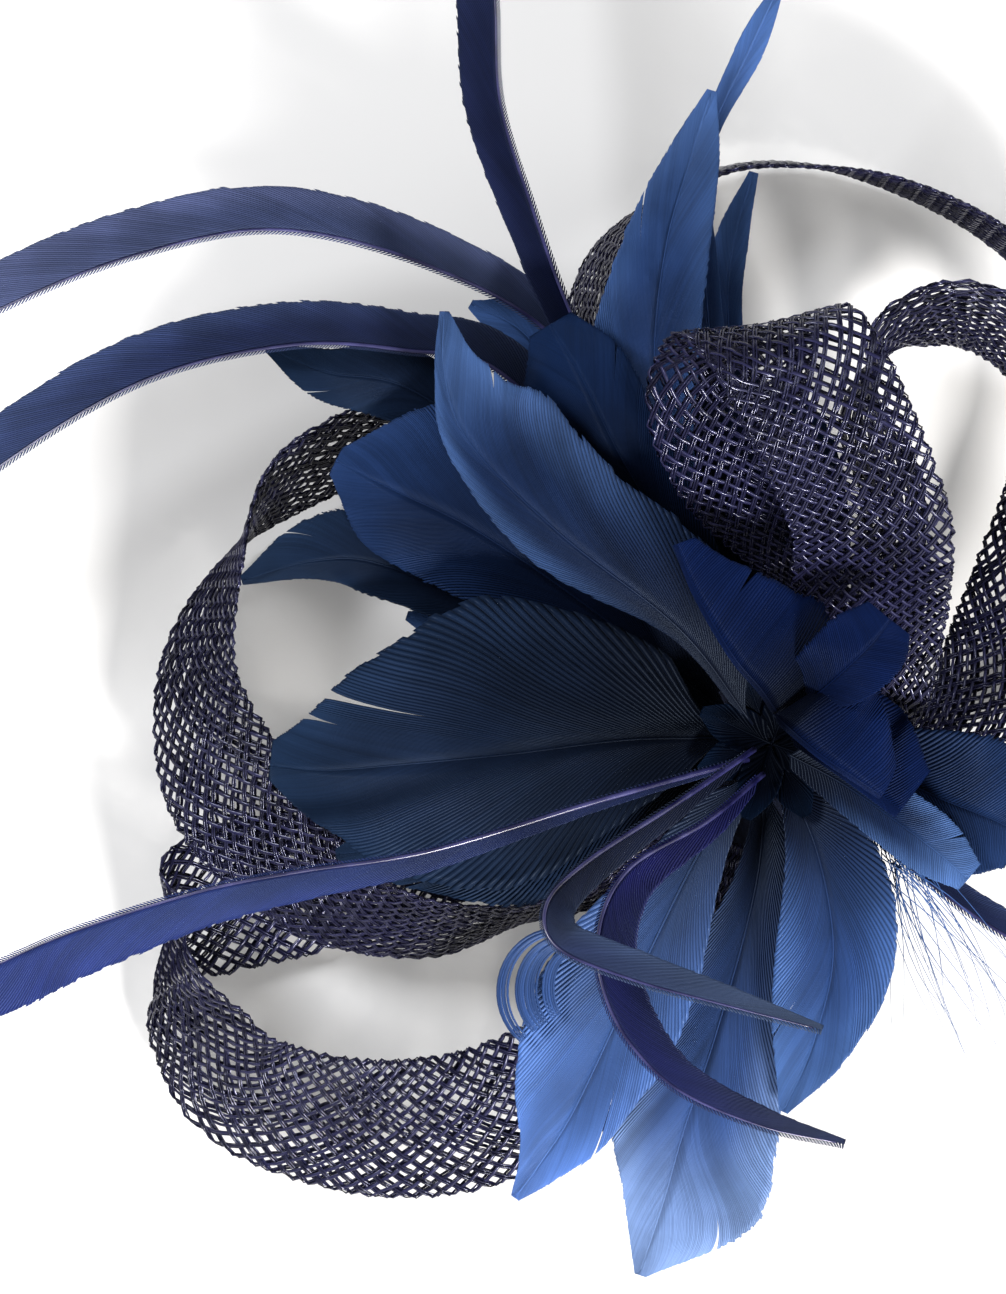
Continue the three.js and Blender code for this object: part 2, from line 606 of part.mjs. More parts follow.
// A quill is stripped down to a narrow vane on one side of its shaft.
const QUILLS = {
  upper_quill: [
    [-2.2, 6.5, 11.5, 1, 1], [-10, 30, 14.5, 3, 1], [-20, 50, 21, 4, 1], [-39, 83, 32, 5, 1],
    [-49, 109, 36, 6.5, 1],
    [-55, 129, 38, 7.5, 1], [-56, 149, 39, 8, 1], [-58, 172, 38, 7, 1], [-64, 198, 33, 1, 1],
  ],
  long_upper_quill: [
    [-5, 6.5, 8, 1, 1], [-14, 30, 12.5, 1, 3], [-24, 50, 17, 1, 4], [-43, 81, 27, 1, 6],
    [-69, 96, 35, 1, 8],
    [-99, 103, 41, 1, 9], [-127, 98, 43, 1, 9.5], [-155, 87, 42, 1, 9], [-188, 69, 38, 1, 7],
    [-215, 50, 33, 1, 1],
  ],
  middle_quill: [
    [-4.5, 5.5, 20, 1, 1], [-28, 44, 30, 1, 4], [-54, 74, 36, 1, 7], [-74, 79, 38, 1, 8],
    [-97, 80, 39, 1, 9], [-126, 73, 39, 1, 9.5], [-155, 56, 37, 1, 9], [-182, 34, 33, 1, 7],
    [-205, 10, 28, 1, 1],
  ],
  lower_quill: [
    [-5, -3, 30, 1, 1], [-35, -11, 44, 2, 1], [-69, -21, 50, 4, 1], [-95, -25, 52, 6, 1],
    [-115, -29, 52, 7.5, 1], [-140, -37, 50, 9.5, 1], [-160, -46, 47, 9.5, 1],
    [-200, -66, 40, 1, 1],
  ],
  front_curl_quill: [
    [-2, -6, 30, 1, 1], [-14, -15, 52, 4, 1], [-30, -24, 70, 7, 1], [-36, -37, 80, 8, 1],
    [-33, -52, 84, 8, 1], [-22, -65, 86, 6, 1], [-5, -73, 84, 4, 1], [12, -77, 80, 1, 1],
  ],
  near_curl_quill: [
    [-4, -1, 34, 1, 1], [-20, -11, 62, 3, 1], [-38, -22, 82, 5, 1], [-46, -30, 92, 6, 1],
    [-44, -38, 97, 6, 1], [-30, -44, 99, 6, 1], [-12, -49, 98, 4, 1], [7, -54, 95, 1, 1],
  ],
  right_quill: [
    [5, -4, 14, 1, 1], [21, -19, 20, 3, 1], [46, -38, 23, 5, 1], [78, -53, 23, 5, 1],
    [112, -62, 16, 1, 1],
  ],
};

function addFeathers() {
  for (const [name, spec] of Object.entries(PETALS)) {
    addPart(name, feather(spec, FEATHER_STEPS, FEATHER_CELLS), petalVane());
  }
  for (const [name, stations] of Object.entries(QUILLS)) {
    addPart(name, feather({ stations }, QUILL_STEPS, QUILL_CELLS), quillVane());
  }
}

addBase();
addClipPlate();
addClipJaw();
addClipSpring();
addBroochBar();
addBroochPin();
addLoops();
addFeathers();

export default group;
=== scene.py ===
import math

import bpy
import numpy as np
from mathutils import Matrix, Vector


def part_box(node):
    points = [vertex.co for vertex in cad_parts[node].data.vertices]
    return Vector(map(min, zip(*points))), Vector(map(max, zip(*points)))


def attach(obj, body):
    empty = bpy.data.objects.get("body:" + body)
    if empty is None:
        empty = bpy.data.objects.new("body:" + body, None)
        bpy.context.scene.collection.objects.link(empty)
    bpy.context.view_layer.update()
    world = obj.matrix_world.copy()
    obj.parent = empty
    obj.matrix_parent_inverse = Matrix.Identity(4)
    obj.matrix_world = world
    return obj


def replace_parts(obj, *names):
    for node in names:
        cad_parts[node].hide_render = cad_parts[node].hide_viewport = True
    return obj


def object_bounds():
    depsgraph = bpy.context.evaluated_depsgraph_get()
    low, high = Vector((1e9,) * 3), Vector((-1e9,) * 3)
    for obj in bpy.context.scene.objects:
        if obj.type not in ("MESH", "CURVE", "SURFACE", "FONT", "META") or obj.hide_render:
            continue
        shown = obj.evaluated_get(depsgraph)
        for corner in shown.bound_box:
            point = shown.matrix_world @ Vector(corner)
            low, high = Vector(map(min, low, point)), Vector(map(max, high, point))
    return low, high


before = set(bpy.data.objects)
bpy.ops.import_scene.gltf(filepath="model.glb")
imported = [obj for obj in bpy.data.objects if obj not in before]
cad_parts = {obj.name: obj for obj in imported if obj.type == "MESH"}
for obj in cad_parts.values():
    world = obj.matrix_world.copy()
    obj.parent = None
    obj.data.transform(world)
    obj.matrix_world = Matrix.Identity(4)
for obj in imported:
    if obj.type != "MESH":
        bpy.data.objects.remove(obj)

# Feather flower fascinator: loops of crin braid, stripped quills and goose feather petals
# round a thread-bound stem, on a felt-backed disc with a clip and a brooch pin.
# Sizes are in millimetres and turn into metres when a mesh is made.

cad_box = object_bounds()
MM = 0.001
UP = np.array([0.0, 0.0, 1.0])
BODY = "headpiece"

BRAID_WIDTH = 32
BRAID_ANGLE = math.radians(40)
STRANDS_EACH_WAY = 22
STRAND_STEP = 0.95
TAPE_HALF_WIDTH = 0.34
TAPE_HALF_DEPTH = 0.06
FILAMENT_HALF_WIDTH = 0.16
FILAMENT_HALF_DEPTH = 0.1
FILAMENT_SHIFT = 0.33
WEAVE_LIFT = 0.2

SHAFT_HALF_WIDTH = 0.9
PETAL_PITCH = 0.75
PETAL_WAVE = 0.05
PETAL_SHAFT = (0.3, 0.08)
QUILL_PITCH = 1.1
QUILL_LEAD = 28
QUILL_WAVE = 0.03
QUILL_SHAFT = (0.6, 0.16)
STUB_PITCH = 0.8
STUB_LEAD = 1.5
STUB_COVER = 0.7
BARB_COVER = 1.12
FIRST_BARB = 0.01
FEWEST_BARBS = 8
BARBS_PER_LOCK = 9
SPLIT_FADE = 0.045
RIDGE = 0.05
RIDGE_VARIES = 0.05

# ---------------------------------------------------------------- the stations, as in the solids

W = BRAID_WIDTH

# Each station is [x, y, z, across x, across y, across z, width].
LOOPS = {
    "left_loop": [
        [-19, 11, 5.3, 0.5, 0.87, 0, 7],
        [-33, 26, 7, 0.6, 0.7, 0.3, 18],
        [-51, 49, 9, 0.3, 0.6, 0.7, 28],
        [-72, 62, 10, -0.1, 0.5, 0.85, W],
        [-95, 55, 10, -0.25, 0.3, 0.93, W],
        [-110, 37, 12, 0.28, 0.18, 0.94, W],
        [-117, 13, 16, 0.55, 0.02, 0.83, W],
        [-109, -11, 20, 0.8, 0.28, 0.52, W],
        [-90, -31, 20, 0.5, 0.45, 0.74, W],
        [-69, -38, 17, 0, 0.4, 0.92, W],
        [-47, -34, 13, -0.05, 0.12, 0.99, W],
        [-29, -25, 9, -0.3, 0.5, 0.8, 18],
        [-15.5, -15.5, 5.3, -0.7, 0.7, 0, 7],
    ],
    "lower_left_loop": [
        [-21.5, -4, 5.3, 0, 1, 0, 7],
        [-36, -8, 5, -0.1, 0.95, 0.1, 16],
        [-55, -15, 2, -0.1, 0.9, 0.2, 26],
        [-75, -22, 0, -0.1, 0.9, 0.25, W],
        [-93, -28, -1, -0.1, 0.9, 0.25, W],
        [-110, -32, 0, -0.1, 0.92, 0.25, W],
        [-122, -37, 4, 0.12, 0.8, 0.42, W],
        [-122, -48, 11, 0.25, 0.45, 0.85, W],
        [-116, -60, 11, 0.52, 0.45, 0.72, W],
        [-107, -71, 9, 0.47, 0.68, 0.56, W],
        [-92, -77, 8, 0.25, 0.84, 0.48, W],
        [-74, -79, 7, 0.08, 0.92, 0.38, W],
        [-54, -75, 7, -0.06, 0.92, 0.38, W],
        [-32, -61, 8, -0.3, 0.75, 0.55, W],
        [-14, -40, 9, -0.6, 0.5, 0.6, 24],
        [-5.7, -21, 5.3, -0.97, 0.26, 0, 7],
    ],
    "front_loop": [
        [12, 18.5, 6, 0.9, -0.4, 0, 7],
        [7, 33, 25, 0.95, -0.1, 0.1, 16],
        [-3, 50, 44, 0.95, 0.1, 0, 28],
        [-10, 66, 54, 0.95, 0.2, 0, W],
        [-9, 76, 61, 0.98, 0.15, 0, W],
        [-5, 82, 72, 0.98, 0.15, -0.05, W],
        [2, 77, 80, 0.98, 0.12, -0.1, W],
        [10, 62, 77, 0.99, 0.05, -0.05, W],
        [18, 44, 63, 1, 0, 0, W],
        [19, 31, 47, 0.99, -0.05, -0.1, W],
        [21, 17, 30, 0.96, -0.1, -0.2, 26],
        [24, 6, 13, 0.5, -0.8, 0, 12],
        [20.5, 4, 5.6, 0.2, -0.97, 0, 7],
    ],
    "right_loop": [
        [17.5, 12.5, 5.5, 0.58, -0.8, 0, 7],
        [24, 29, 9, 0.7, -0.3, 0.5, 18],
        [25, 50, 12, 0.4, 0.1, 0.9, 28],
        [20, 67, 14, 0.25, 0.2, 0.92, W],
        [25, 82, 18, -0.05, 0.32, 0.92, W],
        [39, 87, 21, 0.02, 0.38, 0.92, W],
        [54, 78, 20, 0.25, 0.32, 0.9, W],
        [58, 57, 18, 0.5, 0.15, 0.85, W],
        [54, 35, 15, 0.7, -0.05, 0.7, W],
        [48, 17, 12, 0.7, -0.35, 0.6, W],
        [36, 4, 9, 0.3, -0.8, 0.4, 20],
        [21, -5.5, 5.8, -0.2, -0.97, 0, 7],
    ],
    "top_loop": [
        [-11, 19, 5.3, 0.87, 0.5, 0, 7],
        [-21, 39, 6, 0.87, 0.45, 0.2, 18],
        [-31, 61, 8, 0.7, 0.2, 0.6, 28],
        [-37, 81, 10, 0.35, 0, 0.93, W],
        [-33, 98, 10, 0.25, -0.15, 0.95, W],
        [-22, 110, 10, 0.1, -0.1, 0.99, W],
        [-9, 117, 10, 0, -0.08, 1, W],
        [7, 118, 10, 0, -0.08, 1, W],
        [26, 114, 10, 0, 0.02, 1, W],
        [46, 104, 10, 0.03, 0.06, 0.99, W],
        [64, 87, 10, 0.08, 0.1, 0.98, W],
        [76, 60, 10, 0.2, 0.1, 0.97, W],
        [79, 32, 9, 0.2, -0.05, 0.97, W],
        [68, 6, 8, 0.1, -0.3, 0.95, 28],
        [42, -13, 7, -0.1, -0.6, 0.6, 18],
        [17, -14, 5.5, -0.5, -0.86, 0, 7],
    ],
}

# Each station is [x, y, z, left, right]: a point on the shaft and the vane's half widths there.
# A split is (side, where along the shaft, how far from the shaft it starts, how wide it opens in mm).
PETALS = {
    "left_petal": {
        "stations": [
            [-5, 1, 21, 1, 1], [-28, 1, 31, 14, 22], [-54, -2, 37, 27, 33], [-76, -4, 40, 23, 24],
            [-90, -5, 41, 12, 15], [-101, -4, 41, 3, 5],
        ],
        "cup": [0.12, -0.03], "dye_and_light": "deep", "splits": [(-1, 0.3, 0.3, 3.6), (-1, 0.4, 0.5, 2.4)],
    },
    "left_under_petal": {
        "stations": [
            [-5, -2, 16, 1, 1], [-30, -9, 26, 10, 8], [-52, -15, 33, 18, 12], [-72, -20, 35, 10, 10],
            [-88, -22, 35, 1, 1],
        ],
        "cup": [0.05, 0], "dye_and_light": "deep", "splits": [(1, 0.4, 0.5, 1.5)],
    },
    "rolled_petal": {
        "stations": [
            [-4, 4, 26, 1, 1], [-19, 23, 42, 2.5, 16], [-43, 42, 52, 8, 17], [-61, 60, 56, 5, 18],
            [-66, 74, 57, 2, 9], [-66, 86, 56, 1, 1],
        ],
        "cup": [-0.25, -0.3], "dye_and_light": "mid", "splits": [(-1, 0.45, 0.7, 1.6)],
    },
    "folded_petal": {
        "stations": [
            [-5, 3, 17, 1, 1], [-32, 24, 24, 10, 14], [-58, 42, 30, 14, 24], [-76, 51, 34, 13, 20],
            [-88, 57, 35, 3, 3],
        ],
        "cup": [0.05, -0.1], "dye_and_light": "shaded", "splits": [],
    },
    "narrow_dark_petal": {
        "stations": [
            [-5, 2, 13, 1, 1], [-50, 24, 20, 5, 6], [-78, 36, 29, 7, 10], [-92, 37, 32, 4, 9],
            [-107, 33, 32, 1, 1],
        ],
        "dye_and_light": "deep", "splits": [(-1, 0.6, 0.5, 0.8)],
    },
    "tall_petal": {
        "stations": [
            [-1, 6, 14, 1, 1], [-12, 30, 19, 5, 3], [-20, 52, 27, 8, 5], [-24, 76, 37, 13, 9],
            [-22, 99, 47, 9, 9], [-17, 117, 51, 5, 6], [-13, 130, 52, 1, 1],
        ],
        "cup": [-0.1, -0.2], "dye_and_light": "bright", "splits": [(1, 0.5, 0.5, 1.0)],
    },
    "twisted_tip_petal": {
        "stations": [
            [1.5, 5.5, 9, 1, 1], [-4.5, 30, 14, 2, 2], [-10, 60, 24, 3, 3], [-14, 95, 36, 4, 3],
            [-14, 118, 42, 2, 1.5], [-5, 139, 47, 3, 3], [1, 152, 50, 1, 1],
        ],
        "roll": [0, 20], "dye_and_light": "bright", "splits": [],
    },
    "upright_petal": {
        "stations": [
            [3, 5.5, 7.5, 1, 1], [-1, 27, 9, 2, 2], [-5, 50, 16, 4, 3], [-9, 85, 29, 5, 3],
            [-8, 101, 33, 4, 3], [-4, 115, 34, 1, 1],
        ],
        "dye_and_light": "bright", "splits": [],
    },
    "collar_petal": {
        "stations": [
            [-2, 5, 21, 1, 1], [-18, 36, 31, 11, 8], [-31, 58, 40, 15, 10], [-39, 74, 44, 13, 10],
            [-45, 84, 44, 5, 5],
        ],
        "cup": [0, -0.1], "dye_and_light": "dark", "splits": [(-1, 0.5, 0.5, 1.2)],
    },
    "standing_petal": {
        "stations": [
            [3, 4, 28, 1, 1], [7, 9, 44, 7, 3], [12, 14, 55, 9, 7], [18, 20, 60, 9, 8],
            [22, 25, 61, 6, 5],
        ],
        "cup": [0.1, -0.05], "pitch": 0.6, "lead": 9, "dye_and_light": "royal", "splits": [],
    },
    "curled_petal": {
        "stations": [[4, 1, 26, 1, 1], [10, -2, 37, 16, 2], [17, -7, 43, 16, 2], [25, -13, 44, 10, 2]],
        "cup": [0, -0.2], "pitch": 0.6, "lead": 8, "dye_and_light": "royal", "splits": [],
    },
    "right_petal": {
        "stations": [
            [5, -1, 18, 1, 1], [20, -5, 26, 9, 9], [34, -11, 30, 15, 13], [44, -15, 31, 15, 13],
            [50, -18, 31, 6, 8],
        ],
        "lead": 16, "dye_and_light": "shaded", "splits": [(-1, 0.5, 0.5, 1.4), (1, 0.6, 0.6, 1.0)],
    },
    "lower_left_petal": {
        "stations": [
            [-3, -4, 22, 1, 1], [-15, -22, 30, 6, 8], [-29, -50, 35, 13, 18], [-40, -73, 36, 10, 14],
            [-47, -84, 36, 5, 5], [-52, -91, 35, 1, 1],
        ],
        "dye_and_light": "sky", "splits": [(1, 0.35, 0.4, 1.2)],
    },
    "lower_petal": {
        "stations": [
            [-1, -5, 15, 1, 1], [-3, -28, 22, 8, 5], [-11, -57, 27, 15, 13], [-18, -78, 29, 20, 15],
            [-22, -92, 29, 19, 9], [-27, -107, 29, 1.5, 1],
        ],
        "dye_and_light": "pale", "splits": [(1, 0.55, 0.6, 1.2)],
    },
    "lower_right_petal": {
        "stations": [
            [2, -5, 22, 1, 1], [9, -22, 29, 12, 7], [12, -42, 32, 13, 12], [8, -60, 32, 8, 9],
            [2, -74, 31, 1, 1],
        ],
        "dye_and_light": "bright", "splits": [(-1, 0.4, 0.5, 1.0)],
    },
    "back_leaf_petal": {
        "stations": [
            [-4, 5, 11, 1, 1], [-45, 50, 22, 5, 5], [-72, 71, 29, 8, 8], [-90, 75, 30, 6, 5],
            [-102, 80, 29, 1, 1],
        ],
        "dye_and_light": "deep", "splits": [(1, 0.6, 0.5, 1.0)],
    },
    "pale_back_petal": {
        "stations": [
            [-3.2, 6, 6, 1, 1], [-18, 32, 9, 4, 4], [-34, 60, 17, 6, 6], [-49, 82, 23, 7, 7],
            [-61, 89, 24, 1, 1],
        ],
        "dye_and_light": "bright", "splits": [],
    },
    "side_under_petal": {
        "stations": [[-5.3, -0.5, 9, 1, 1], [-30, 11, 12, 5, 5], [-55, 20, 14, 8, 8], [-74, 26, 16, 1, 1]],
        "dye_and_light": "mid", "splits": [],
    },
}

# Feathers that fold round the flower's rim, and near-black ones behind the front loop: painted shade, dark
# sheets standing in for the shadow inside the loop.
RIM_PETALS = {
    "rim_petal": {
        "stations": [
            [2, 4, 42, 1, 5], [-3, 11, 51, 1, 20], [-9, 18, 56, 1, 19], [-16, 30, 58, 1, 12],
            [-20, 40, 57, 1, 4],
        ],
        "cup": [-0.1, -0.4], "dye_and_light": "royal", "pitch": 0.55, "lead": 6, "splits": [(-1, 0.62, 0.5, 1.2)],
    },
    "rim_fold_petal": {
        "stations": [
            [0, 6, 46, 8, 1], [3, 3, 50, 17, 1], [9, -2, 52, 18, 1], [15, -6, 51, 15, 1],
            [21, -10, 48, 7, 1],
        ],
        "cup": [-0.2, -0.35], "dye_and_light": "royal", "pitch": 0.55, "lead": 5,
    },
    "rim_lower_petal": {
        "stations": [
            [3, -2, 28, 2, 2], [14, -8, 34, 6, 5], [24, -15, 36, 7, 6], [32, -21, 36, 7, 6],
            [39, -27, 35, 4, 3],
        ],
        "cup": [0, -0.1], "dye_and_light": "mid", "pitch": 0.6, "lead": 8, "splits": [(1, 0.7, 0.4, 0.9)],
    },
    # Painted shade: near-black feathers filling the front loop's shadowed inside.
    "shade_petal_left": {
        "stations": [
            [2, 8, 9, 2, 2], [-5, 30, 18, 9, 9], [-9, 52, 26, 12, 12], [-10, 72, 30, 9, 9],
            [-10, 82, 31, 2, 2],
        ],
        "dye_and_light": "throat",
    },
    "shade_petal_right": {
        "stations": [
            [5, 6, 10, 2, 2], [7, 25, 15, 8, 8], [6, 46, 22, 10, 10], [4, 62, 26, 8, 8],
            [3, 72, 27, 2, 2],
        ],
        "dye_and_light": "throat",
    },
}

QUILLS = {
    "upper_quill": [
        [-2.2, 6.5, 11.5, 1, 1], [-10, 30, 14.5, 3, 1], [-20, 50, 21, 4, 1], [-39, 83, 32, 5, 1],
        [-49, 109, 36, 6.5, 1], [-55, 129, 38, 7.5, 1], [-56, 149, 39, 8, 1], [-58, 172, 38, 7, 1],
        [-64, 198, 33, 1, 1],
    ],
    "long_upper_quill": [
        [-5, 6.5, 8, 1, 1], [-14, 30, 12.5, 1, 3], [-24, 50, 17, 1, 4], [-43, 81, 27, 1, 6],
        [-69, 96, 35, 1, 8], [-99, 103, 41, 1, 9], [-127, 98, 43, 1, 9.5], [-155, 87, 42, 1, 9],
        [-188, 69, 38, 1, 7], [-215, 50, 33, 1, 1],
    ],
    "middle_quill": [
        [-4.5, 5.5, 20, 1, 1], [-28, 44, 30, 1, 4], [-54, 74, 36, 1, 7], [-74, 79, 38, 1, 8],
        [-97, 80, 39, 1, 9], [-126, 73, 39, 1, 9.5], [-155, 56, 37, 1, 9], [-182, 34, 33, 1, 7],
        [-205, 10, 28, 1, 1],
    ],
    "lower_quill": [
        [-5, -3, 30, 1, 1], [-35, -11, 44, 2, 1], [-69, -21, 50, 4, 1], [-95, -25, 52, 6, 1],
        [-115, -29, 52, 7.5, 1], [-140, -37, 50, 9.5, 1], [-160, -46, 47, 9.5, 1], [-200, -66, 40, 1, 1],
    ],
    "front_curl_quill": [
        [-2, -6, 30, 1, 1], [-14, -15, 52, 4, 1], [-30, -24, 70, 7, 1], [-36, -37, 80, 8, 1],
        [-33, -52, 84, 8, 1], [-22, -65, 86, 6, 1], [-5, -73, 84, 4, 1], [12, -77, 80, 1, 1],
    ],
    "near_curl_quill": [
        [-4, -1, 34, 1, 1], [-20, -11, 62, 3, 1], [-38, -22, 82, 5, 1], [-46, -30, 92, 6, 1],
        [-44, -38, 97, 6, 1], [-30, -44, 99, 6, 1], [-12, -49, 98, 4, 1], [7, -54, 95, 1, 1],
    ],
    "right_quill": [
        [5, -4, 14, 1, 1], [21, -19, 20, 3, 1], [46, -38, 23, 5, 1], [78, -53, 23, 5, 1],
        [112, -62, 16, 1, 1],
    ],
}


# ---------------------------------------------------------------- curve and mesh helpers

def unit(v):
    return v / np.maximum(np.linalg.norm(v, axis=-1, keepdims=True), 1e-9)


def spline(points, t):
    """A smooth curve through the points, t from 0 at the first to 1 at the last."""
    points = np.asarray(points, float)
    padded = np.vstack([2 * points[0] - points[1], points, 2 * points[-1] - points[-2]])
    place = np.clip(np.asarray(t, float), 0, 1) * (len(points) - 1)
    i = np.minimum(place.astype(int), len(points) - 2)
    w = (place - i)[:, None]
    before, start, end, after = (padded[i + k] for k in range(4))
    return (
        (2 * w**3 - 3 * w**2 + 1) * start + (w**3 - 2 * w**2 + w) * (end - before) / 2
        + (3 * w**2 - 2 * w**3) * end + (w**3 - w**2) * (after - start) / 2
    )


def turned_outwards(points, faces):
    """The faces, all flipped if they enclose less than nothing."""
    volume = 0.0
    for face in faces:
        a = points[face[:, 0]]
        for k in range(1, face.shape[1] - 1):
            volume += np.einsum("ij,ij->", a, np.cross(points[face[:, k]], points[face[:, k + 1]]))
    return [face[:, ::-1] for face in faces] if volume < 0 else faces


def strands(sections):
    """Faces of closed strands from sections, an array of strand, step, corner, xyz."""
    count, steps, corners = sections.shape[:3]
    index = np.arange(count * steps * corners).reshape(count, steps, corners)
    after = np.roll(index, -1, axis=2)
    sides = np.stack([index[:, :-1], after[:, :-1], after[:, 1:], index[:, 1:]], axis=-1)
    caps = np.concatenate([index[:, 0, ::-1], index[:, -1]])
    points = sections.reshape(-1, 3)
    return points, turned_outwards(points, [sides.reshape(-1, 4), caps])


def round_sections(paths, normals, half_width, half_depth, corners):
    """Sections of strands along paths, flat across their normals."""
    tangents = unit(np.gradient(paths, axis=1))
    across = unit(np.cross(normals, tangents))
    over = np.cross(tangents, across)
    angles = (np.arange(corners) + 0.5) * 2 * math.pi / corners
    swell = 1 / math.cos(math.pi / corners)
    half_width = np.broadcast_to(half_width, paths.shape[:2])[..., None, None] * swell
    half_depth = np.broadcast_to(half_depth, paths.shape[:2])[..., None, None] * swell
    return (
        paths[:, :, None] + across[:, :, None] * half_width * np.cos(angles)[:, None]
        + over[:, :, None] * half_depth * np.sin(angles)[:, None]
    )


def make_piece(name, parts, materials):
    """One object from parts, each (points in mm, faces, {attribute: values}, material number)."""
    mesh = bpy.data.meshes.new(name)
    points = np.concatenate([part[0] for part in parts])
    loops, totals, slots = [], [], []
    first = 0
    for part_points, faces, _, number in parts:
        for face in faces:
            loops.append((face + first).ravel())
            totals.append(np.full(len(face), face.shape[1]))
            slots.append(np.full(len(face), number))
        first += len(part_points)
    loops, totals, slots = (np.concatenate(a).astype(np.int32) for a in (loops, totals, slots))
    mesh.vertices.add(len(points))
    mesh.vertices.foreach_set("co", (points * MM).astype(np.float32).ravel())
    mesh.loops.add(len(loops))
    mesh.polygons.add(len(totals))
    mesh.polygons.foreach_set("loop_start", np.concatenate([[0], np.cumsum(totals)[:-1]]).astype(np.int32))
    mesh.polygons.foreach_set("vertices", loops)
    mesh.polygons.foreach_set("material_index", slots)
    mesh.update(calc_edges=True)
    for key in parts[0][2]:
        values = np.concatenate([part[2][key].ravel() for part in parts]).astype(np.float32)
        mesh.attributes.new(key, "FLOAT", "POINT").data.foreach_set("value", values)
    for material in materials:
        mesh.materials.append(material)
    piece = bpy.data.objects.new(name, mesh)
    bpy.context.scene.collection.objects.link(piece)
    return piece


# ---------------------------------------------------------------- materials

def socket_name(word):
    return word.replace("_", " ")


def new_material(name, **values):
    material = bpy.data.materials.new(name)
    material.use_nodes = True
    shader = material.node_tree.nodes["Principled BSDF"]
    for word, value in values.items():
        shader.inputs[socket_name(word)].default_value = value
    return material, material.node_tree, shader


def add_node(tree, kind, **settings):
    node = tree.nodes.new(kind)
    for key, value in settings.items():
        setattr(node, key, value)
    return node


def value_of(tree, name):
    return add_node(tree, "ShaderNodeAttribute", attribute_name=name).outputs["Fac"]


def mix_colours(tree, factor, first, second, blend="MIX"):
    mix = add_node(tree, "ShaderNodeMix", data_type="RGBA", blend_type=blend)
    for socket, value in ((mix.inputs[0], factor), (mix.inputs[6], first), (mix.inputs[7], second)):
        if isinstance(value, bpy.types.NodeSocket):
            tree.links.new(value, socket)
        else:
            socket.default_value = value
    return mix.outputs[2]


def spread(tree, value, low, high, to_low=0.0, to_high=1.0):
    """The value moved from one range to another, smoothly and no further."""
    node = add_node(tree, "ShaderNodeMapRange", interpolation_type="SMOOTHSTEP")
    for k, number in enumerate((low, high, to_low, to_high)):
        node.inputs[k + 1].default_value = number
    tree.links.new(value, node.inputs[0])
    return node.outputs[0]


def noise(tree, scale, detail=2.0, vector=None):
    node = add_node(tree, "ShaderNodeTexNoise")
    node.inputs["Scale"].default_value = scale
    node.inputs["Detail"].default_value = detail
    if vector is None:
        vector = add_node(tree, "ShaderNodeTexCoord").outputs["Object"]
    tree.links.new(vector, node.inputs["Vector"])
    return node.outputs["Fac"]


def new_group(name, inputs, outputs):
    tree = bpy.data.node_groups.new(name, "ShaderNodeTree")
    for label, kind in inputs:
        tree.interface.new_socket(label, in_out="INPUT", socket_type=kind)
    for label, kind in outputs:
        tree.interface.new_socket(label, in_out="OUTPUT", socket_type=kind)
    return tree, tree.nodes.new("NodeGroupInput"), tree.nodes.new("NodeGroupOutput")


def use_group(tree, group, **values):
    node = add_node(tree, "ShaderNodeGroup", node_tree=group)
    for word, value in values.items():
        node.inputs[socket_name(word)].default_value = value
    return node


def feather_dye_and_painted_light_group():
    """Dyed vane streaked barb by barb, darkened towards the throat by painted shade and paled at its tips
    and edges by painted light, as if lit through.
    """
    colours = [("Throat", "NodeSocketColor"), ("Body", "NodeSocketColor"), ("Tip", "NodeSocketColor")]
    tree, given, result = new_group("feather_dye_and_painted_light", colours, [("Colour", "NodeSocketColor")])
    along, reach, tint = (value_of(tree, name) for name in ("along", "reach", "tint"))
    # Painted shade: the vane darkens towards the throat, in the shadow of the flower's rim.
    past_throat = spread(tree, along, 0.08, 0.55)
    body = mix_colours(tree, past_throat, given.outputs["Throat"], given.outputs["Body"])
    # Painted light: the tips pale towards the tip colour, as if light shone through them.
    tipped = mix_colours(tree, spread(tree, along, 0.5, 1.05), body, given.outputs["Tip"])
    # Painted light: the thin edges pale too, away from the throat.
    edge = add_node(tree, "ShaderNodeMath", operation="MULTIPLY")
    tree.links.new(spread(tree, reach, 0.35, 1.0), edge.inputs[0])
    tree.links.new(spread(tree, along, 0.15, 0.6), edge.inputs[1])
    edged = mix_colours(tree, edge.outputs[0], tipped, given.outputs["Tip"])
    soften = mix_colours(tree, 0.55, tipped, edged)
    cloud = spread(tree, noise(tree, 55.0, 3.0), 0.3, 0.7, 0.8, 1.2)
    streak = add_node(tree, "ShaderNodeMath", operation="MULTIPLY")
    tree.links.new(spread(tree, tint, 0.0, 1.0, 0.78, 1.22), streak.inputs[0])
    tree.links.new(cloud, streak.inputs[1])
    shade = add_node(tree, "ShaderNodeCombineColor")
    for k in range(3):
        tree.links.new(streak.outputs[0], shade.inputs[k])
    tree.links.new(mix_colours(tree, 1.0, soften, shade.outputs[0], "MULTIPLY"), result.inputs[0])
    return tree
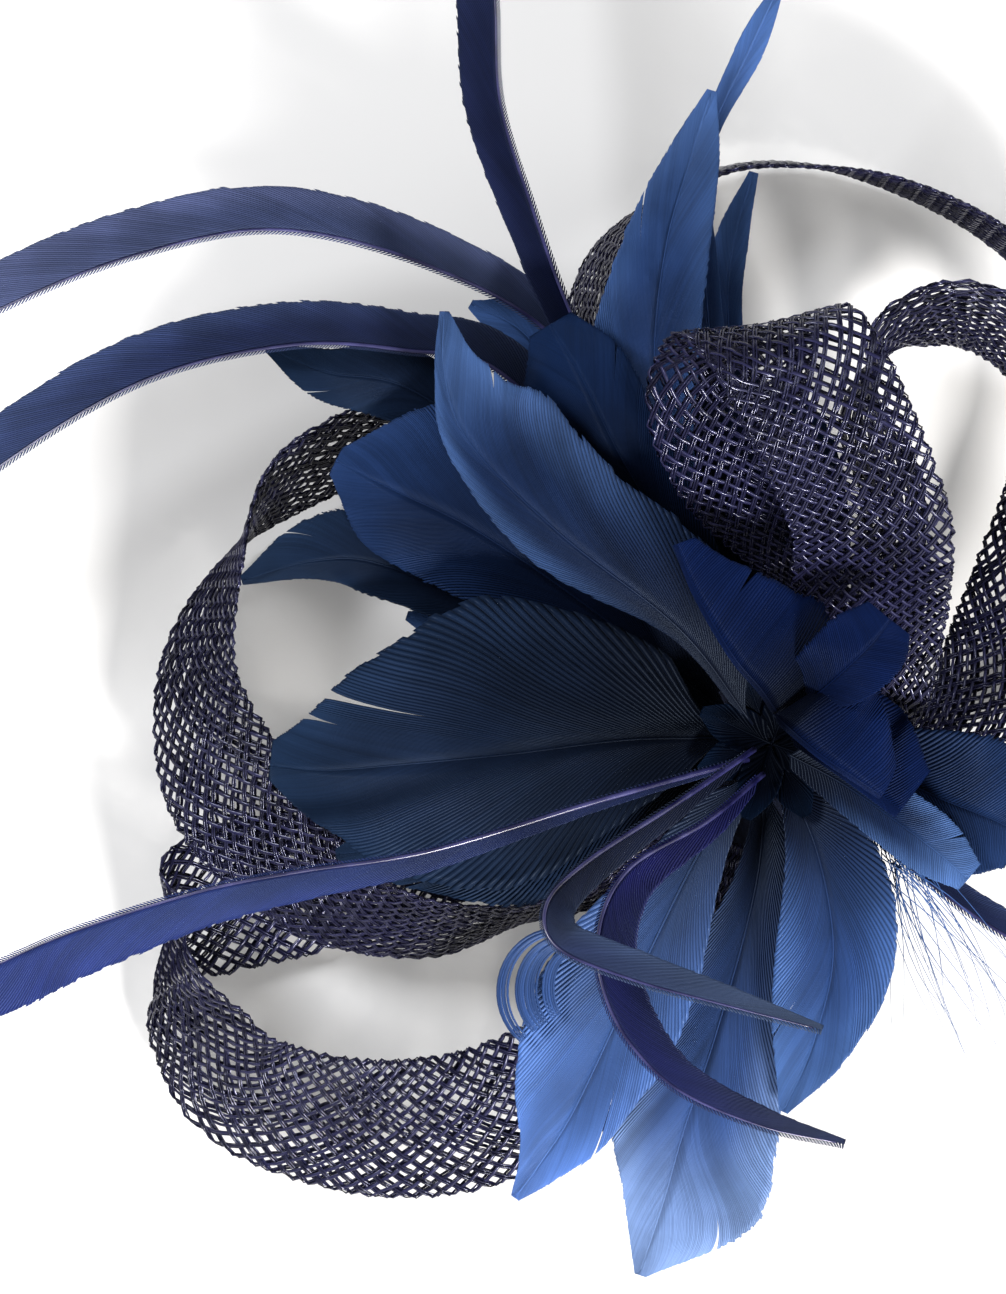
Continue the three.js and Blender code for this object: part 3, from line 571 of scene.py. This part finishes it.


# Throat, body and tip colours, and how much each dyed feather shines. Most rows are one navy dye in darker
# and lighter copies: painted shade and painted light.
DYES_AND_PAINTED_LIGHT = {
    # Painted light: bright, sky and pale are lighter copies, for feathers that catch the light or are lit
    # through; mid lies between, with lighter tips.
    # Painted shade: throat, dark, deep, shaded and royal are darker copies, for feathers lying in shadow.
    "throat": ((0.0003, 0.0005, 0.0015, 1), (0.0004, 0.0008, 0.0025, 1), (0.001, 0.003, 0.009, 1), 0.02),
    "dark": ((0.0003, 0.0006, 0.002, 1), (0.0012, 0.0035, 0.013, 1), (0.003, 0.009, 0.032, 1), 0.05),
    "deep": ((0.0004, 0.0008, 0.0025, 1), (0.0035, 0.0075, 0.02, 1), (0.005, 0.012, 0.03, 1), 0.08),
    "shaded": ((0.0004, 0.0008, 0.003, 1), (0.0024, 0.0068, 0.025, 1), (0.008, 0.02, 0.064, 1), 0.08),
    "mid": ((0.0005, 0.001, 0.004, 1), (0.003, 0.0085, 0.031, 1), (0.036, 0.076, 0.19, 1), 0.12),
    "royal": ((0.0003, 0.0007, 0.0035, 1), (0.0009, 0.003, 0.0165, 1), (0.0018, 0.0056, 0.03, 1), 0.04),
    "bright": ((0.0008, 0.0018, 0.007, 1), (0.0095, 0.025, 0.085, 1), (0.034, 0.076, 0.2, 1), 0.18),
    "sky": ((0.0008, 0.0022, 0.009, 1), (0.017, 0.042, 0.13, 1), (0.06, 0.13, 0.36, 1), 0.3),
    "pale": ((0.0008, 0.0022, 0.009, 1), (0.013, 0.032, 0.105, 1), (0.13, 0.2, 0.37, 1), 0.25),
    "quill": ((0.0008, 0.0015, 0.007, 1), (0.0035, 0.0058, 0.026, 1), (0.022, 0.034, 0.09, 1), 0.22),
    # A darker copy of the quill dye: painted shade.
    "dark_quill": ((0.0006, 0.0012, 0.008, 1), (0.0018, 0.0028, 0.015, 1), (0.007, 0.01, 0.036, 1), 0.12),
    # A lighter copy of the quill dye: painted light on the long upper quill.
    "lit_quill": ((0.0008, 0.0015, 0.007, 1), (0.013, 0.018, 0.047, 1), (0.05, 0.06, 0.13, 1), 0.3),
    "violet_quill": ((0.004, 0.004, 0.04, 1), (0.005, 0.006, 0.042, 1), (0.006, 0.008, 0.025, 1), 0.15),
    "blue_quill": ((0.003, 0.005, 0.022, 1), (0.006, 0.012, 0.06, 1), (0.011, 0.02, 0.11, 1), 0.2),
    "grey_quill": ((0.002, 0.003, 0.01, 1), (0.006, 0.009, 0.028, 1), (0.016, 0.026, 0.055, 1), 0.2),
}
QUILL_DYES_AND_PAINTED_LIGHT = {
    "near_curl_quill": "grey_quill", "front_curl_quill": "violet_quill", "lower_quill": "blue_quill",
    "upper_quill": "dark_quill", "long_upper_quill": "lit_quill",
}


def feather_materials(dye_and_light_group):
    made = {}
    for name, (throat, body, tip, shine) in DYES_AND_PAINTED_LIGHT.items():
        # Each lit or shaded copy of the dye becomes a material of its own.
        material, tree, shader = new_material(
            f"dyed_and_painted_light_feather_{name}", Roughness=0.45, Specular_IOR_Level=shine,
            Specular_Tint=(0.6, 0.75, 1, 1), Sheen_Weight=0.15 * shine, Sheen_Tint=(0.45, 0.6, 1, 1),
        )
        dye_and_light = use_group(tree, dye_and_light_group, Throat=throat, Body=body, Tip=tip)
        tree.links.new(dye_and_light.outputs[0], shader.inputs["Base Color"])
        made[name] = material
    return made


def shaft_material(name, colour):
    """Bare quill, rubbed paler in places."""
    material, tree, shader = new_material(name, Roughness=0.3, Specular_IOR_Level=0.6)
    pale = tuple(min(1, c * 2.6 + 0.02) for c in colour[:3]) + (1,)
    rubbed = spread(tree, noise(tree, 140.0), 0.35, 0.75)
    tree.links.new(mix_colours(tree, rubbed, colour, pale), shader.inputs["Base Color"])
    return material


def braid_material(name, dark, light, roughness):
    """Glossy plaited straw, each strand a little different and worn paler in places."""
    material, tree, shader = new_material(
        name, Specular_IOR_Level=0.22, Specular_Tint=(0.6, 0.62, 1, 1),
        Coat_Weight=0.2, Coat_Roughness=0.06,
    )
    strand = spread(tree, value_of(tree, "tint"), 0.0, 1.0)
    patch = spread(tree, noise(tree, 90.0, 3.0), 0.35, 0.7)
    colour = mix_colours(tree, strand, dark, light)
    tree.links.new(mix_colours(tree, patch, colour, light), shader.inputs["Base Color"])
    gloss = spread(tree, noise(tree, 600.0), 0.3, 0.7, roughness * 0.8, roughness * 1.7)
    tree.links.new(gloss, shader.inputs["Roughness"])
    return material


def cloth_material(name, dark, light, scale, bump_height):
    """Matted or twisted fibres, raised a little."""
    material, tree, shader = new_material(
        name, Roughness=0.95, Sheen_Weight=0.4, Specular_IOR_Level=0.1,
    )
    fibres = noise(tree, scale, 6.0)
    colour = mix_colours(tree, spread(tree, fibres, 0.3, 0.7), dark, light)
    tree.links.new(colour, shader.inputs["Base Color"])
    bump = add_node(tree, "ShaderNodeBump")
    bump.inputs["Strength"].default_value = 0.42
    bump.inputs["Distance"].default_value = bump_height
    tree.links.new(fibres, bump.inputs["Height"])
    tree.links.new(bump.outputs[0], shader.inputs["Normal"])
    return material


def steel_material():
    """Nickel plated spring steel with fine rubbing marks along it."""
    material, tree, shader = new_material("plated_spring_steel", Metallic=1.0)
    stretch = add_node(tree, "ShaderNodeMapping")
    stretch.inputs["Scale"].default_value = (60, 1500, 1500)
    tree.links.new(add_node(tree, "ShaderNodeTexCoord").outputs["Object"], stretch.inputs["Vector"])
    marks = noise(tree, 1.0, 4.0, stretch.outputs[0])
    tree.links.new(spread(tree, marks, 0.3, 0.7, 0.18, 0.38), shader.inputs["Roughness"])
    dull = (0.5, 0.51, 0.53, 1)
    clean = (0.68, 0.69, 0.71, 1)
    colour = mix_colours(tree, spread(tree, marks, 0.2, 0.8), dull, clean)
    tree.links.new(colour, shader.inputs["Base Color"])
    return material


# ---------------------------------------------------------------- feathers

NUDGE = 0.004
WIDEST_WAVE = 16


def vane_surface(spec, t, s):
    """Points and normals of a vane at t along the shaft and s across it, from -1 to 1."""
    shape = t.shape
    t, s = t.ravel(), s.ravel()
    stations = np.array(spec["stations"], float)
    centre = spline(stations[:, :3], t)
    tangent = unit(spline(stations[:, :3], t + NUDGE) - spline(stations[:, :3], t - NUDGE))
    side = unit(np.cross(UP, tangent))
    first_roll, last_roll = spec.get("roll", [0, 0])
    roll = np.radians(first_roll + (last_roll - first_roll) * t)[:, None]
    side = side * np.cos(roll) + np.cross(tangent, side) * np.sin(roll)
    normal = np.cross(tangent, side)
    widths = spline(stations[:, 3:5], t)
    reach = np.maximum(SHAFT_HALF_WIDTH, np.where(s > 0, widths[:, 0], widths[:, 1])) * s
    first_cup, last_cup = spec.get("cup", [0, 0])
    lift = (first_cup + (last_cup - first_cup) * t) * np.abs(reach * s)
    slow = np.sin(8.0 * t + 3.0 * np.sign(s) + stations[1, 0])
    quick = np.sin(17.0 * t + 4.0 * s + stations[1, 1])
    fold = slow + 0.5 * quick
    wave = spec.get("wave", PETAL_WAVE) * np.minimum(np.abs(reach), WIDEST_WAVE) * fold
    points = centre + side * reach[:, None] + normal * (lift + wave)[:, None]
    return points.reshape(*shape, 3), normal.reshape(*shape, 3)


def shaft_length(spec):
    points = spline(np.array(spec["stations"], float)[:, :3], np.linspace(0, 1, 80))
    return np.linalg.norm(np.diff(points, axis=0), axis=1).sum()


def barb_tints(count, rng):
    """Each barb's shade: part its own, and part its whole lock's."""
    marks = np.arange(0, count + 12, BARBS_PER_LOCK)
    locks = np.interp(np.arange(count), marks, rng.random(len(marks)))
    return 0.45 * rng.random(count) + 0.55 * locks


def barb_ends(root, rng):
    """Where each barb ends, as a share of the vane's half width there."""
    patches = np.interp(root, np.linspace(0, 1, 12), rng.random(12))
    return 1 - 0.02 * rng.random(len(root)) - 0.04 * (patches * 7 % 1)


def split_openings(spec, side, root, u, length):
    """How far the vane's splits push each barb along the shaft."""
    opened = np.zeros((len(root), len(u)))
    for split_side, place, depth, gap in spec.get("splits", []):
        if split_side == side:
            away = root - place
            ramp = np.clip((u - depth) / (1 - depth), 0, 1) ** 1.2
            push = np.sign(away) * np.exp(-np.abs(away) / SPLIT_FADE) * 0.5 * gap / length
            opened += push[:, None] * ramp
    return opened


def barb_strips(spec, side, rng, pitch, lead, steps, cover=BARB_COVER):
    """One side of a vane as flat ridged barbs, each leaning forward by lead from the shaft."""
    length = shaft_length(spec)
    count = max(FEWEST_BARBS, int(length * (1 - FIRST_BARB) / pitch))
    root = FIRST_BARB + (1 - FIRST_BARB) * ((np.arange(count) + 0.5) / count)
    half = 0.5 * (1 - FIRST_BARB) / count
    u = np.linspace(0, 1, steps) ** 0.9
    tint = barb_tints(count, rng)
    reach = u * barb_ends(root, rng)[:, None]
    opened = split_openings(spec, side, root, u, length)
    width_share = cover * (1 - 0.15 * np.clip((u - 0.9) / 0.1, 0, 1))
    edges = []
    for toward in (-1, 1):
        base = root[:, None] + toward * half * width_share
        grown = lead * np.clip(0.12 + base / 0.4, 0, 1)
        lean = 1 - np.exp(-grown / length * reach / np.maximum(1 - base, 0.02))
        t = np.clip(base + (1 - base) * lean + opened, 0, 1)
        edges.append((*vane_surface(spec, t, side * reach), t))
    (back, normal, t), (front, _, _) = edges
    ridge = normal * (RIDGE + RIDGE_VARIES * rng.random((count, 1, 1)))
    middle = (back + front) / 2
    points, faces = strands(np.stack([back, middle + ridge, front, middle - ridge], axis=2))
    marks = {}
    for key, values in (("along", t), ("reach", u), ("tint", tint[:, None])):
        marks[key] = np.repeat(np.broadcast_to(values, (count, steps))[..., None], 4, axis=2)
    return points, faces, marks, 0


def shaft_tube(spec, radii, steps):
    """The feather's shaft, round and tapering, half sunk in the vane."""
    thick, thin = radii
    corners = 8
    t = np.linspace(0, 0.985, steps)[None]
    path, normal = vane_surface(spec, t, np.zeros_like(t))
    radius = thick + (thin - thick) * t**0.7
    points, faces = strands(round_sections(path, normal, radius, radius, corners))
    marks = {}
    for key, value in (("along", t), ("reach", 0 * t), ("tint", 0 * t + 0.5)):
        marks[key] = np.repeat(value.ravel(), corners)
    return points, faces, marks, 1


def random_for(name):
    return np.random.default_rng(sum(map(ord, name)))


def make_vane(name, spec, dyes_and_painted_light):
    rng = random_for(name)
    widest = np.array(spec["stations"])[:, 3:5].max(axis=0)
    pitch = spec.get("pitch", PETAL_PITCH)
    parts = []
    for side, wide in ((1, widest[0]), (-1, widest[1])):
        lead = spec.get("lead", 2.6 * wide + 14)
        parts.append(barb_strips(spec, side, rng, pitch, lead, steps=13))
    parts.append(shaft_tube(spec, PETAL_SHAFT, steps=60))
    piece = make_piece(name + "_vane", parts, [dyes_and_painted_light[spec["dye_and_light"]], dyes_and_painted_light[spec["dye_and_light"]]])
    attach(piece, BODY)
    return piece


def make_petal(name, spec, dyes_and_painted_light):
    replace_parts(make_vane(name, spec, dyes_and_painted_light), name)


def make_quill(name, stations, dyes_and_painted_light, shaft):
    """A stripped quill: long slanting barbs on one side and short stubs on the other."""
    rng = random_for(name)
    widest = np.array(stations)[:, 3:5].max(axis=0)
    vane_side = 1 if widest[0] > widest[1] else -1
    spec = {"stations": stations, "wave": QUILL_WAVE}
    parts = [
        barb_strips(spec, vane_side, rng, QUILL_PITCH, QUILL_LEAD, steps=11),
        barb_strips(spec, -vane_side, rng, STUB_PITCH, STUB_LEAD, steps=3, cover=STUB_COVER),
        shaft_tube(spec, QUILL_SHAFT, steps=90),
    ]
    dye_and_light = QUILL_DYES_AND_PAINTED_LIGHT.get(name, "quill")
    piece = make_piece(name + "_vane", parts, [dyes_and_painted_light[dye_and_light], shaft])
    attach(piece, BODY)
    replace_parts(piece, name)


# Down the middle of each throat feather: distance out, height and half width.
THROAT_STATIONS = ((0.3, 21.8, 2.5), (4, 24, 4), (8, 26.5, 4.5), (12, 28.5, 3.5), (16, 30, 1))
THROAT_ANGLES = (200, 155, 112, 70, 25, -20, -65, -110)
THROAT_RISE = 1.2


def make_throat_petals(dyes_and_painted_light):
    """Small near-black feathers that line the throat, every other one a little higher; their near-black is
    painted shade in the throat.
    """
    for k, angle in enumerate(THROAT_ANGLES):
        out = np.array([math.cos(math.radians(angle)), math.sin(math.radians(angle))])
        rise = THROAT_RISE * (k % 2)
        stations = [[*(out * reach), z + rise, width, width] for reach, z, width in THROAT_STATIONS]
        spec = {"stations": stations, "cup": [0.2, 0], "dye_and_light": "throat"}
        make_vane(f"throat_petal_{k + 1}", spec, dyes_and_painted_light)


def make_rim_petals(dyes_and_painted_light):
    for name, spec in RIM_PETALS.items():
        make_vane(name, spec, dyes_and_painted_light)


DOWN_HAIRS = 34
DOWN_STEPS = 10
DOWN_RADIUS = 0.08
DOWN_BOW = 2.4


def make_loose_down(dyes_and_painted_light):
    """Down that has come loose below the right petals, each hair bowed a little to one side."""
    places = np.random.default_rng(5)
    bows = np.random.default_rng(6)
    starts = np.array([26.0, -22.0, 24.0]) + places.normal(size=(DOWN_HAIRS, 3)) * [3, 2.5, 0.6]
    ends = np.array([41.0, -55.0, 26.0]) + places.normal(size=(DOWN_HAIRS, 3)) * [7, 7, 1.5]
    u = np.linspace(0, 1, DOWN_STEPS)[:, None]
    paths = []
    for start, end in zip(starts, ends):
        bow = bows.normal(size=3) * DOWN_BOW
        paths.append(start + (end - start) * u + bow * u * (1 - u) * 4)
    paths = np.array(paths)
    radius = DOWN_RADIUS * (1 - 0.8 * np.linspace(0, 1, DOWN_STEPS))
    points, faces = strands(round_sections(paths, np.broadcast_to(UP, paths.shape), radius, radius, 3))
    fill = np.full(len(points), 0.8)
    marks = {"along": fill, "reach": fill, "tint": fill}
    # Painted light: the down takes the lighter, lit copy of the navy dye, at its paler tip end.
    piece = make_piece("loose_down", [(points, faces, marks, 0)], [dyes_and_painted_light["bright"]])
    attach(piece, BODY)


CURL_BUNDLES = (0.0, 3.2, 5.0, 8.0)
CURL_BARBS = 5
CURL_GAP = 0.42
CURL_STEPS = 22
CURL_TURN = (math.radians(62), math.radians(232))
CURL_HALF_WIDTH = 0.3


def make_curled_barbs(dyes_and_painted_light):
    """Barbs split from the lower left petal that curl outwards in bundles and come back."""
    rng = np.random.default_rng(11)
    turn = np.linspace(*CURL_TURN, CURL_STEPS)
    paths = []
    for inset in CURL_BUNDLES:
        for k in range(CURL_BARBS):
            shift = inset + CURL_GAP * k
            reach = np.array([11.5, 12.5]) - shift * np.array([0.8, 0.6])
            centre = np.array([-44.0, -49.5]) + np.array([0.35, 0.1]) * shift
            ring = centre + np.stack([np.cos(turn) * reach[0], np.sin(turn) * reach[1]], axis=1)
            paths.append(np.column_stack([ring, 38.2 - 0.1 * shift + 1.5 * np.sin(turn - 1.2)]))
    paths = np.array(paths) + rng.normal(size=(len(paths), 1, 3)) * 0.06
    taper = CURL_HALF_WIDTH * (1 - 0.5 * np.linspace(0, 1, CURL_STEPS) ** 4)
    sections = round_sections(paths, np.broadcast_to(UP, paths.shape), taper, taper * 0.4, 4)
    points, faces = strands(sections)
    tint = np.repeat(rng.random(len(paths)), CURL_STEPS * 4)
    marks = {"along": np.full(len(points), 0.55), "reach": np.full(len(points), 0.5), "tint": tint}
    # Painted light: the curled barbs take the lighter, lit copy of the navy dye.
    piece = make_piece("curled_barbs", [(points, faces, marks, 0)], [dyes_and_painted_light["bright"]])
    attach(piece, BODY)


# ---------------------------------------------------------------- crin braid

RIBBON_STEPS = 500


def ribbon(stations):
    """The loop's length, middle line, width direction, face normal and half width, evenly spaced."""
    stations = np.array(stations, float)
    t = np.linspace(0, 1, RIBBON_STEPS)
    centre = spline(stations[:, :3], t)
    run = np.concatenate([[0], np.cumsum(np.linalg.norm(np.diff(centre, axis=0), axis=1))])
    even = np.interp(np.linspace(0, run[-1], RIBBON_STEPS), run, t)
    centre = spline(stations[:, :3], even)
    tangent = unit(np.gradient(centre, axis=0))
    across = spline(stations[:, 3:6], even)
    across = unit(across - tangent * np.einsum("ij,ij->i", across, tangent)[:, None])
    half = spline(stations[:, 6:7], even)[:, 0] / 2
    return run[-1], centre, across, np.cross(tangent, across), half


def resampled(values, places, length):
    """Rows of values along a loop, read at the places in mm."""
    table = np.linspace(0, length, len(values))
    return np.stack([np.interp(places, table, values[:, k]) for k in range(3)], axis=1)


def strand_path(around, weave, places, centre, across, normal, half):
    """A strand's path and outward direction, wound round the flattened tube."""
    place = around % (2 * BRAID_WIDTH)
    face = np.where(place < BRAID_WIDTH, 1.0, -1.0)
    x = np.where(place < BRAID_WIDTH, place, 2 * BRAID_WIDTH - place) / BRAID_WIDTH * 2 - 1
    rim = np.abs(x) ** 24
    out = unit(normal * (face * (1 - rim))[:, None] + across * (np.sign(x) * rim)[:, None])
    bulge = (0.45 + 0.2 * np.sin(places / 13.0)) * (1 - np.abs(x) ** 6)
    point = centre + across * (x * half)[:, None] + normal * (face * bulge)[:, None]
    return point + out * (WEAVE_LIFT * weave)[:, None], out


def braid_strands(stations, turn, shifts, half_width, half_depth, corners, rng):
    """One family of the braid's strands, wound turn ways round the flattened tube."""
    length, centre, across, normal, half = ribbon(stations)
    spacing = 2 * BRAID_WIDTH / STRANDS_EACH_WAY
    slope = math.tan(BRAID_ANGLE)
    steps = int(length / STRAND_STEP)
    s = np.linspace(0, length, steps)
    half = np.interp(s, np.linspace(0, length, len(centre)), half)
    centre = resampled(centre, s, length)
    across = unit(resampled(across, s, length))
    normal = unit(resampled(normal, s, length))
    paths, normals, tints = [], [], []
    for strand in range(STRANDS_EACH_WAY):
        slow = 0.45 * np.sin(s / 9.0 + rng.random() * 6.28)
        wander = slow + 0.25 * np.sin(s / 3.7 + rng.random() * 6.28)
        tint = rng.random()
        crossing = (strand * spacing + 2 * turn * slope * s) / spacing
        weave = turn * (-1) ** strand * np.cos(math.pi * crossing)
        for shift in shifts:
            around = strand * spacing + turn * slope * s + wander + shift
            path, out = strand_path(around, weave, s, centre, across, normal, half)
            paths.append(path)
            normals.append(out)
            tints.append(tint)
    paths, normals = np.array(paths), np.array(normals)
    points, faces = strands(round_sections(paths, normals, half_width, half_depth, corners))
    return points, faces, {"tint": np.repeat(tints, steps * corners)}, 0 if turn > 0 else 1


def make_loop(name, stations, materials):
    """Flat tapes wound one way, crossed by pairs of round filaments wound the other way."""
    rng = random_for(name)
    pair = (-FILAMENT_SHIFT, FILAMENT_SHIFT)
    parts = [
        braid_strands(stations, 1, (0.0,), TAPE_HALF_WIDTH, TAPE_HALF_DEPTH, 4, rng),
        braid_strands(stations, -1, pair, FILAMENT_HALF_WIDTH, FILAMENT_HALF_DEPTH, 3, rng),
    ]
    piece = make_piece(name + "_braid", parts, materials)
    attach(piece, BODY)
    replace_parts(piece, name)


# ---------------------------------------------------------------- base and fixings

def select_only(piece):
    bpy.ops.object.select_all(action="DESELECT")
    piece.select_set(True)
    bpy.context.view_layer.objects.active = piece


def apply_all(piece):
    """The piece's modifiers and its place, put into its mesh."""
    select_only(piece)
    for modifier in list(piece.modifiers):
        bpy.ops.object.modifier_apply(modifier=modifier.name)
    bpy.ops.object.transform_apply(location=True, rotation=True, scale=True)


DISC_SIDES = 96
ROLLED_EDGE_ANGLE = math.radians(50)
SMOOTH_ANGLE = math.radians(40)


def soft_disc(name, node, material, edge):
    """A round cloth-covered disc with a soft rolled edge, in its node's own space."""
    low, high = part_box(node)
    bpy.ops.object.select_all(action="DESELECT")
    bpy.ops.mesh.primitive_cylinder_add(
        vertices=DISC_SIDES, radius=(high.x - low.x) / 2, depth=high.z - low.z,
        location=(low + high) / 2, end_fill_type="NGON",
    )
    piece = bpy.context.object
    piece.name = name
    piece.data.name = name
    bpy.ops.object.mode_set(mode="EDIT")
    bpy.ops.mesh.select_mode(type="FACE")
    bpy.ops.mesh.select_all(action="DESELECT")
    bpy.ops.object.mode_set(mode="OBJECT")
    for face in piece.data.polygons:
        face.select = abs(face.normal.z) > 0.9
    bpy.ops.object.mode_set(mode="EDIT")
    bpy.ops.mesh.inset(thickness=edge * 2)
    bpy.ops.object.mode_set(mode="OBJECT")
    rounding = piece.modifiers.new("rolled_edge", "BEVEL")
    rounding.width = edge
    rounding.segments = 4
    rounding.angle_limit = ROLLED_EDGE_ANGLE
    apply_all(piece)
    bpy.ops.object.shade_smooth_by_angle(angle=SMOOTH_ANGLE)
    piece.data.materials.append(material)
    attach(piece, BODY)
    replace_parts(piece, node)
    return piece


THREAD_RADIUS = 0.33
THREAD_WRAPS = 26
STEPS_PER_WRAP = 24
STEM_RADIUS = 3.25


def thread_winding(low, high):
    """Thread wound tightly up the stem, wider at its flared foot."""
    turns = np.linspace(0, THREAD_WRAPS, THREAD_WRAPS * STEPS_PER_WRAP)
    climb = turns / THREAD_WRAPS
    foot = 1.9 * np.exp(-climb * 7) - 1.0 * np.clip((climb - 0.94) / 0.06, 0, 1)
    radius = STEM_RADIUS + foot
    z = low + 0.35 + climb * (high - low - 0.7)
    angle = turns * 2 * math.pi
    path = np.stack([radius * np.cos(angle), radius * np.sin(angle), z], axis=1)[None]
    return strands(round_sections(path, unit(path * [1, 1, 0]), THREAD_RADIUS, THREAD_RADIUS, 6))


def stem_core(low, high):
    """The bound shaft ends inside the thread."""
    z = np.linspace(low + 0.05, high - 0.1, 14)
    path = np.stack([0 * z, 0 * z, z], axis=1)[None]
    radius = np.interp(z, [low, low + 2, low + 4, high - 1, high], [5, 4.2, 3.3, 3.2, 2.4])
    return strands(round_sections(path, np.broadcast_to([1.0, 0, 0], path.shape), radius, radius, 24))


def make_stem(material):
    low, high = (corner.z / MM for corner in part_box("flower_stem"))
    parts = [(points, faces, {}, 0) for points, faces in (thread_winding(low, high), stem_core(low, high))]
    piece = make_piece("bound_stem", parts, [material])
    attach(piece, BODY)
    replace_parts(piece, "flower_stem")


def make_base(felt, thread):
    backing = soft_disc("felt_backing_cloth", "felt_backing", felt, 0.4 * MM)
    soft_disc("covered_disc", "base_disc", felt, 0.9 * MM)
    make_stem(thread)


METAL_NODES = (
    "clip_plate", "clip_jaw", "clip_hinge_pin", "clip_spring", "brooch_bar", "brooch_pin", "brooch_rivet",
)


def finish_metal(steel):
    for name in METAL_NODES:
        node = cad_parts[name]
        node.data.materials.clear()
        node.data.materials.append(steel)


# ---------------------------------------------------------------- floor, light and camera

VIEW_CENTRE = Vector((-0.0544, 0.0196, 0.04))
VIEW_DISTANCE = 1.4
VIEW_HEIGHT = 0.2588
SENSOR = 36
FLOOR_GAP = 0.0004
FLOOR_SIZE = 6
WORLD_STRENGTH = 0.42

LIGHT_AIM = Vector((-0.04, 0.0, 0.03))
# Each light is (name, place, size, power, colour).
LIGHTS = (
    ("key", (0.45, -0.85, 0.75), 0.3, 42, (1, 0.985, 0.96)),
    ("side", (0.9, 0.1, 0.5), 0.5, 3, (0.95, 0.97, 1)),
    ("upper_left", (-0.75, 0.45, 0.85), 0.45, 19, (0.95, 0.97, 1)),
)


def add_camera():
    bpy.context.scene.view_settings.view_transform = "Standard"
    data = bpy.data.cameras.new("camera")
    data.sensor_width = SENSOR
    data.lens = SENSOR * VIEW_DISTANCE / VIEW_HEIGHT
    data.clip_end = 20
    camera = bpy.data.objects.new("camera", data)
    camera.location = VIEW_CENTRE + Vector((0, 0, VIEW_DISTANCE))
    bpy.context.scene.collection.objects.link(camera)
    bpy.context.scene.camera = camera


def add_floor():
    bpy.ops.object.select_all(action="DESELECT")
    bpy.ops.mesh.primitive_plane_add(size=FLOOR_SIZE, location=(0, 0, cad_box[0][2] - FLOOR_GAP))
    floor = bpy.context.object
    floor.name = "floor"
    # The floor glows faintly and evenly: painted light that lifts the shadows on it and lights the piece
    # from below.
    material, _, _ = new_material(
        "pale_floor", Base_Color=(0.5, 0.494, 0.489, 1), Roughness=0.9, Specular_IOR_Level=0.1,
        Emission_Color=(1, 0.985, 0.975, 1), Emission_Strength=0.14,
    )
    floor.data.materials.append(material)


def add_light(name, place, size, power, colour):
    data = bpy.data.lights.new(name, "AREA")
    data.shape = "DISK"
    data.size = size
    data.energy = power
    data.color = colour
    light = bpy.data.objects.new(name, data)
    light.location = place
    light.rotation_euler = (LIGHT_AIM - Vector(place)).to_track_quat("-Z", "Y").to_euler()
    bpy.context.scene.collection.objects.link(light)


def add_world():
    world = bpy.data.worlds.new("studio")
    world.use_nodes = True
    background = world.node_tree.nodes["Background"]
    background.inputs["Color"].default_value = (1, 0.99, 0.975, 1)
    background.inputs["Strength"].default_value = WORLD_STRENGTH
    bpy.context.scene.world = world


# ---------------------------------------------------------------- the whole piece

add_camera()
add_floor()
add_world()
for light in LIGHTS:
    add_light(*light)

dyes_and_painted_light = feather_materials(feather_dye_and_painted_light_group())
quill_shaft = shaft_material("quill_shaft", (0.003, 0.003, 0.03, 1))
tape = braid_material("braid_tape", (0.0025, 0.0025, 0.009, 1), (0.009, 0.009, 0.03, 1), 0.28)
filament = braid_material("braid_filament", (0.002, 0.002, 0.006, 1), (0.007, 0.007, 0.022, 1), 0.22)
felt = cloth_material("navy_felt", (0.004, 0.006, 0.018, 1), (0.016, 0.022, 0.05, 1), 900.0, 0.0003)
thread = cloth_material(
    "binding_thread", (0.003, 0.005, 0.015, 1), (0.012, 0.016, 0.045, 1), 1500.0, 0.0001,
)

for petal_name, petal in PETALS.items():
    make_petal(petal_name, petal, dyes_and_painted_light)
for quill_name, quill in QUILLS.items():
    make_quill(quill_name, quill, dyes_and_painted_light, quill_shaft)
for loop_name, loop in LOOPS.items():
    make_loop(loop_name, loop, [tape, filament])
make_throat_petals(dyes_and_painted_light)
make_rim_petals(dyes_and_painted_light)
make_loose_down(dyes_and_painted_light)
make_curled_barbs(dyes_and_painted_light)
make_base(felt, thread)
finish_metal(steel_material())
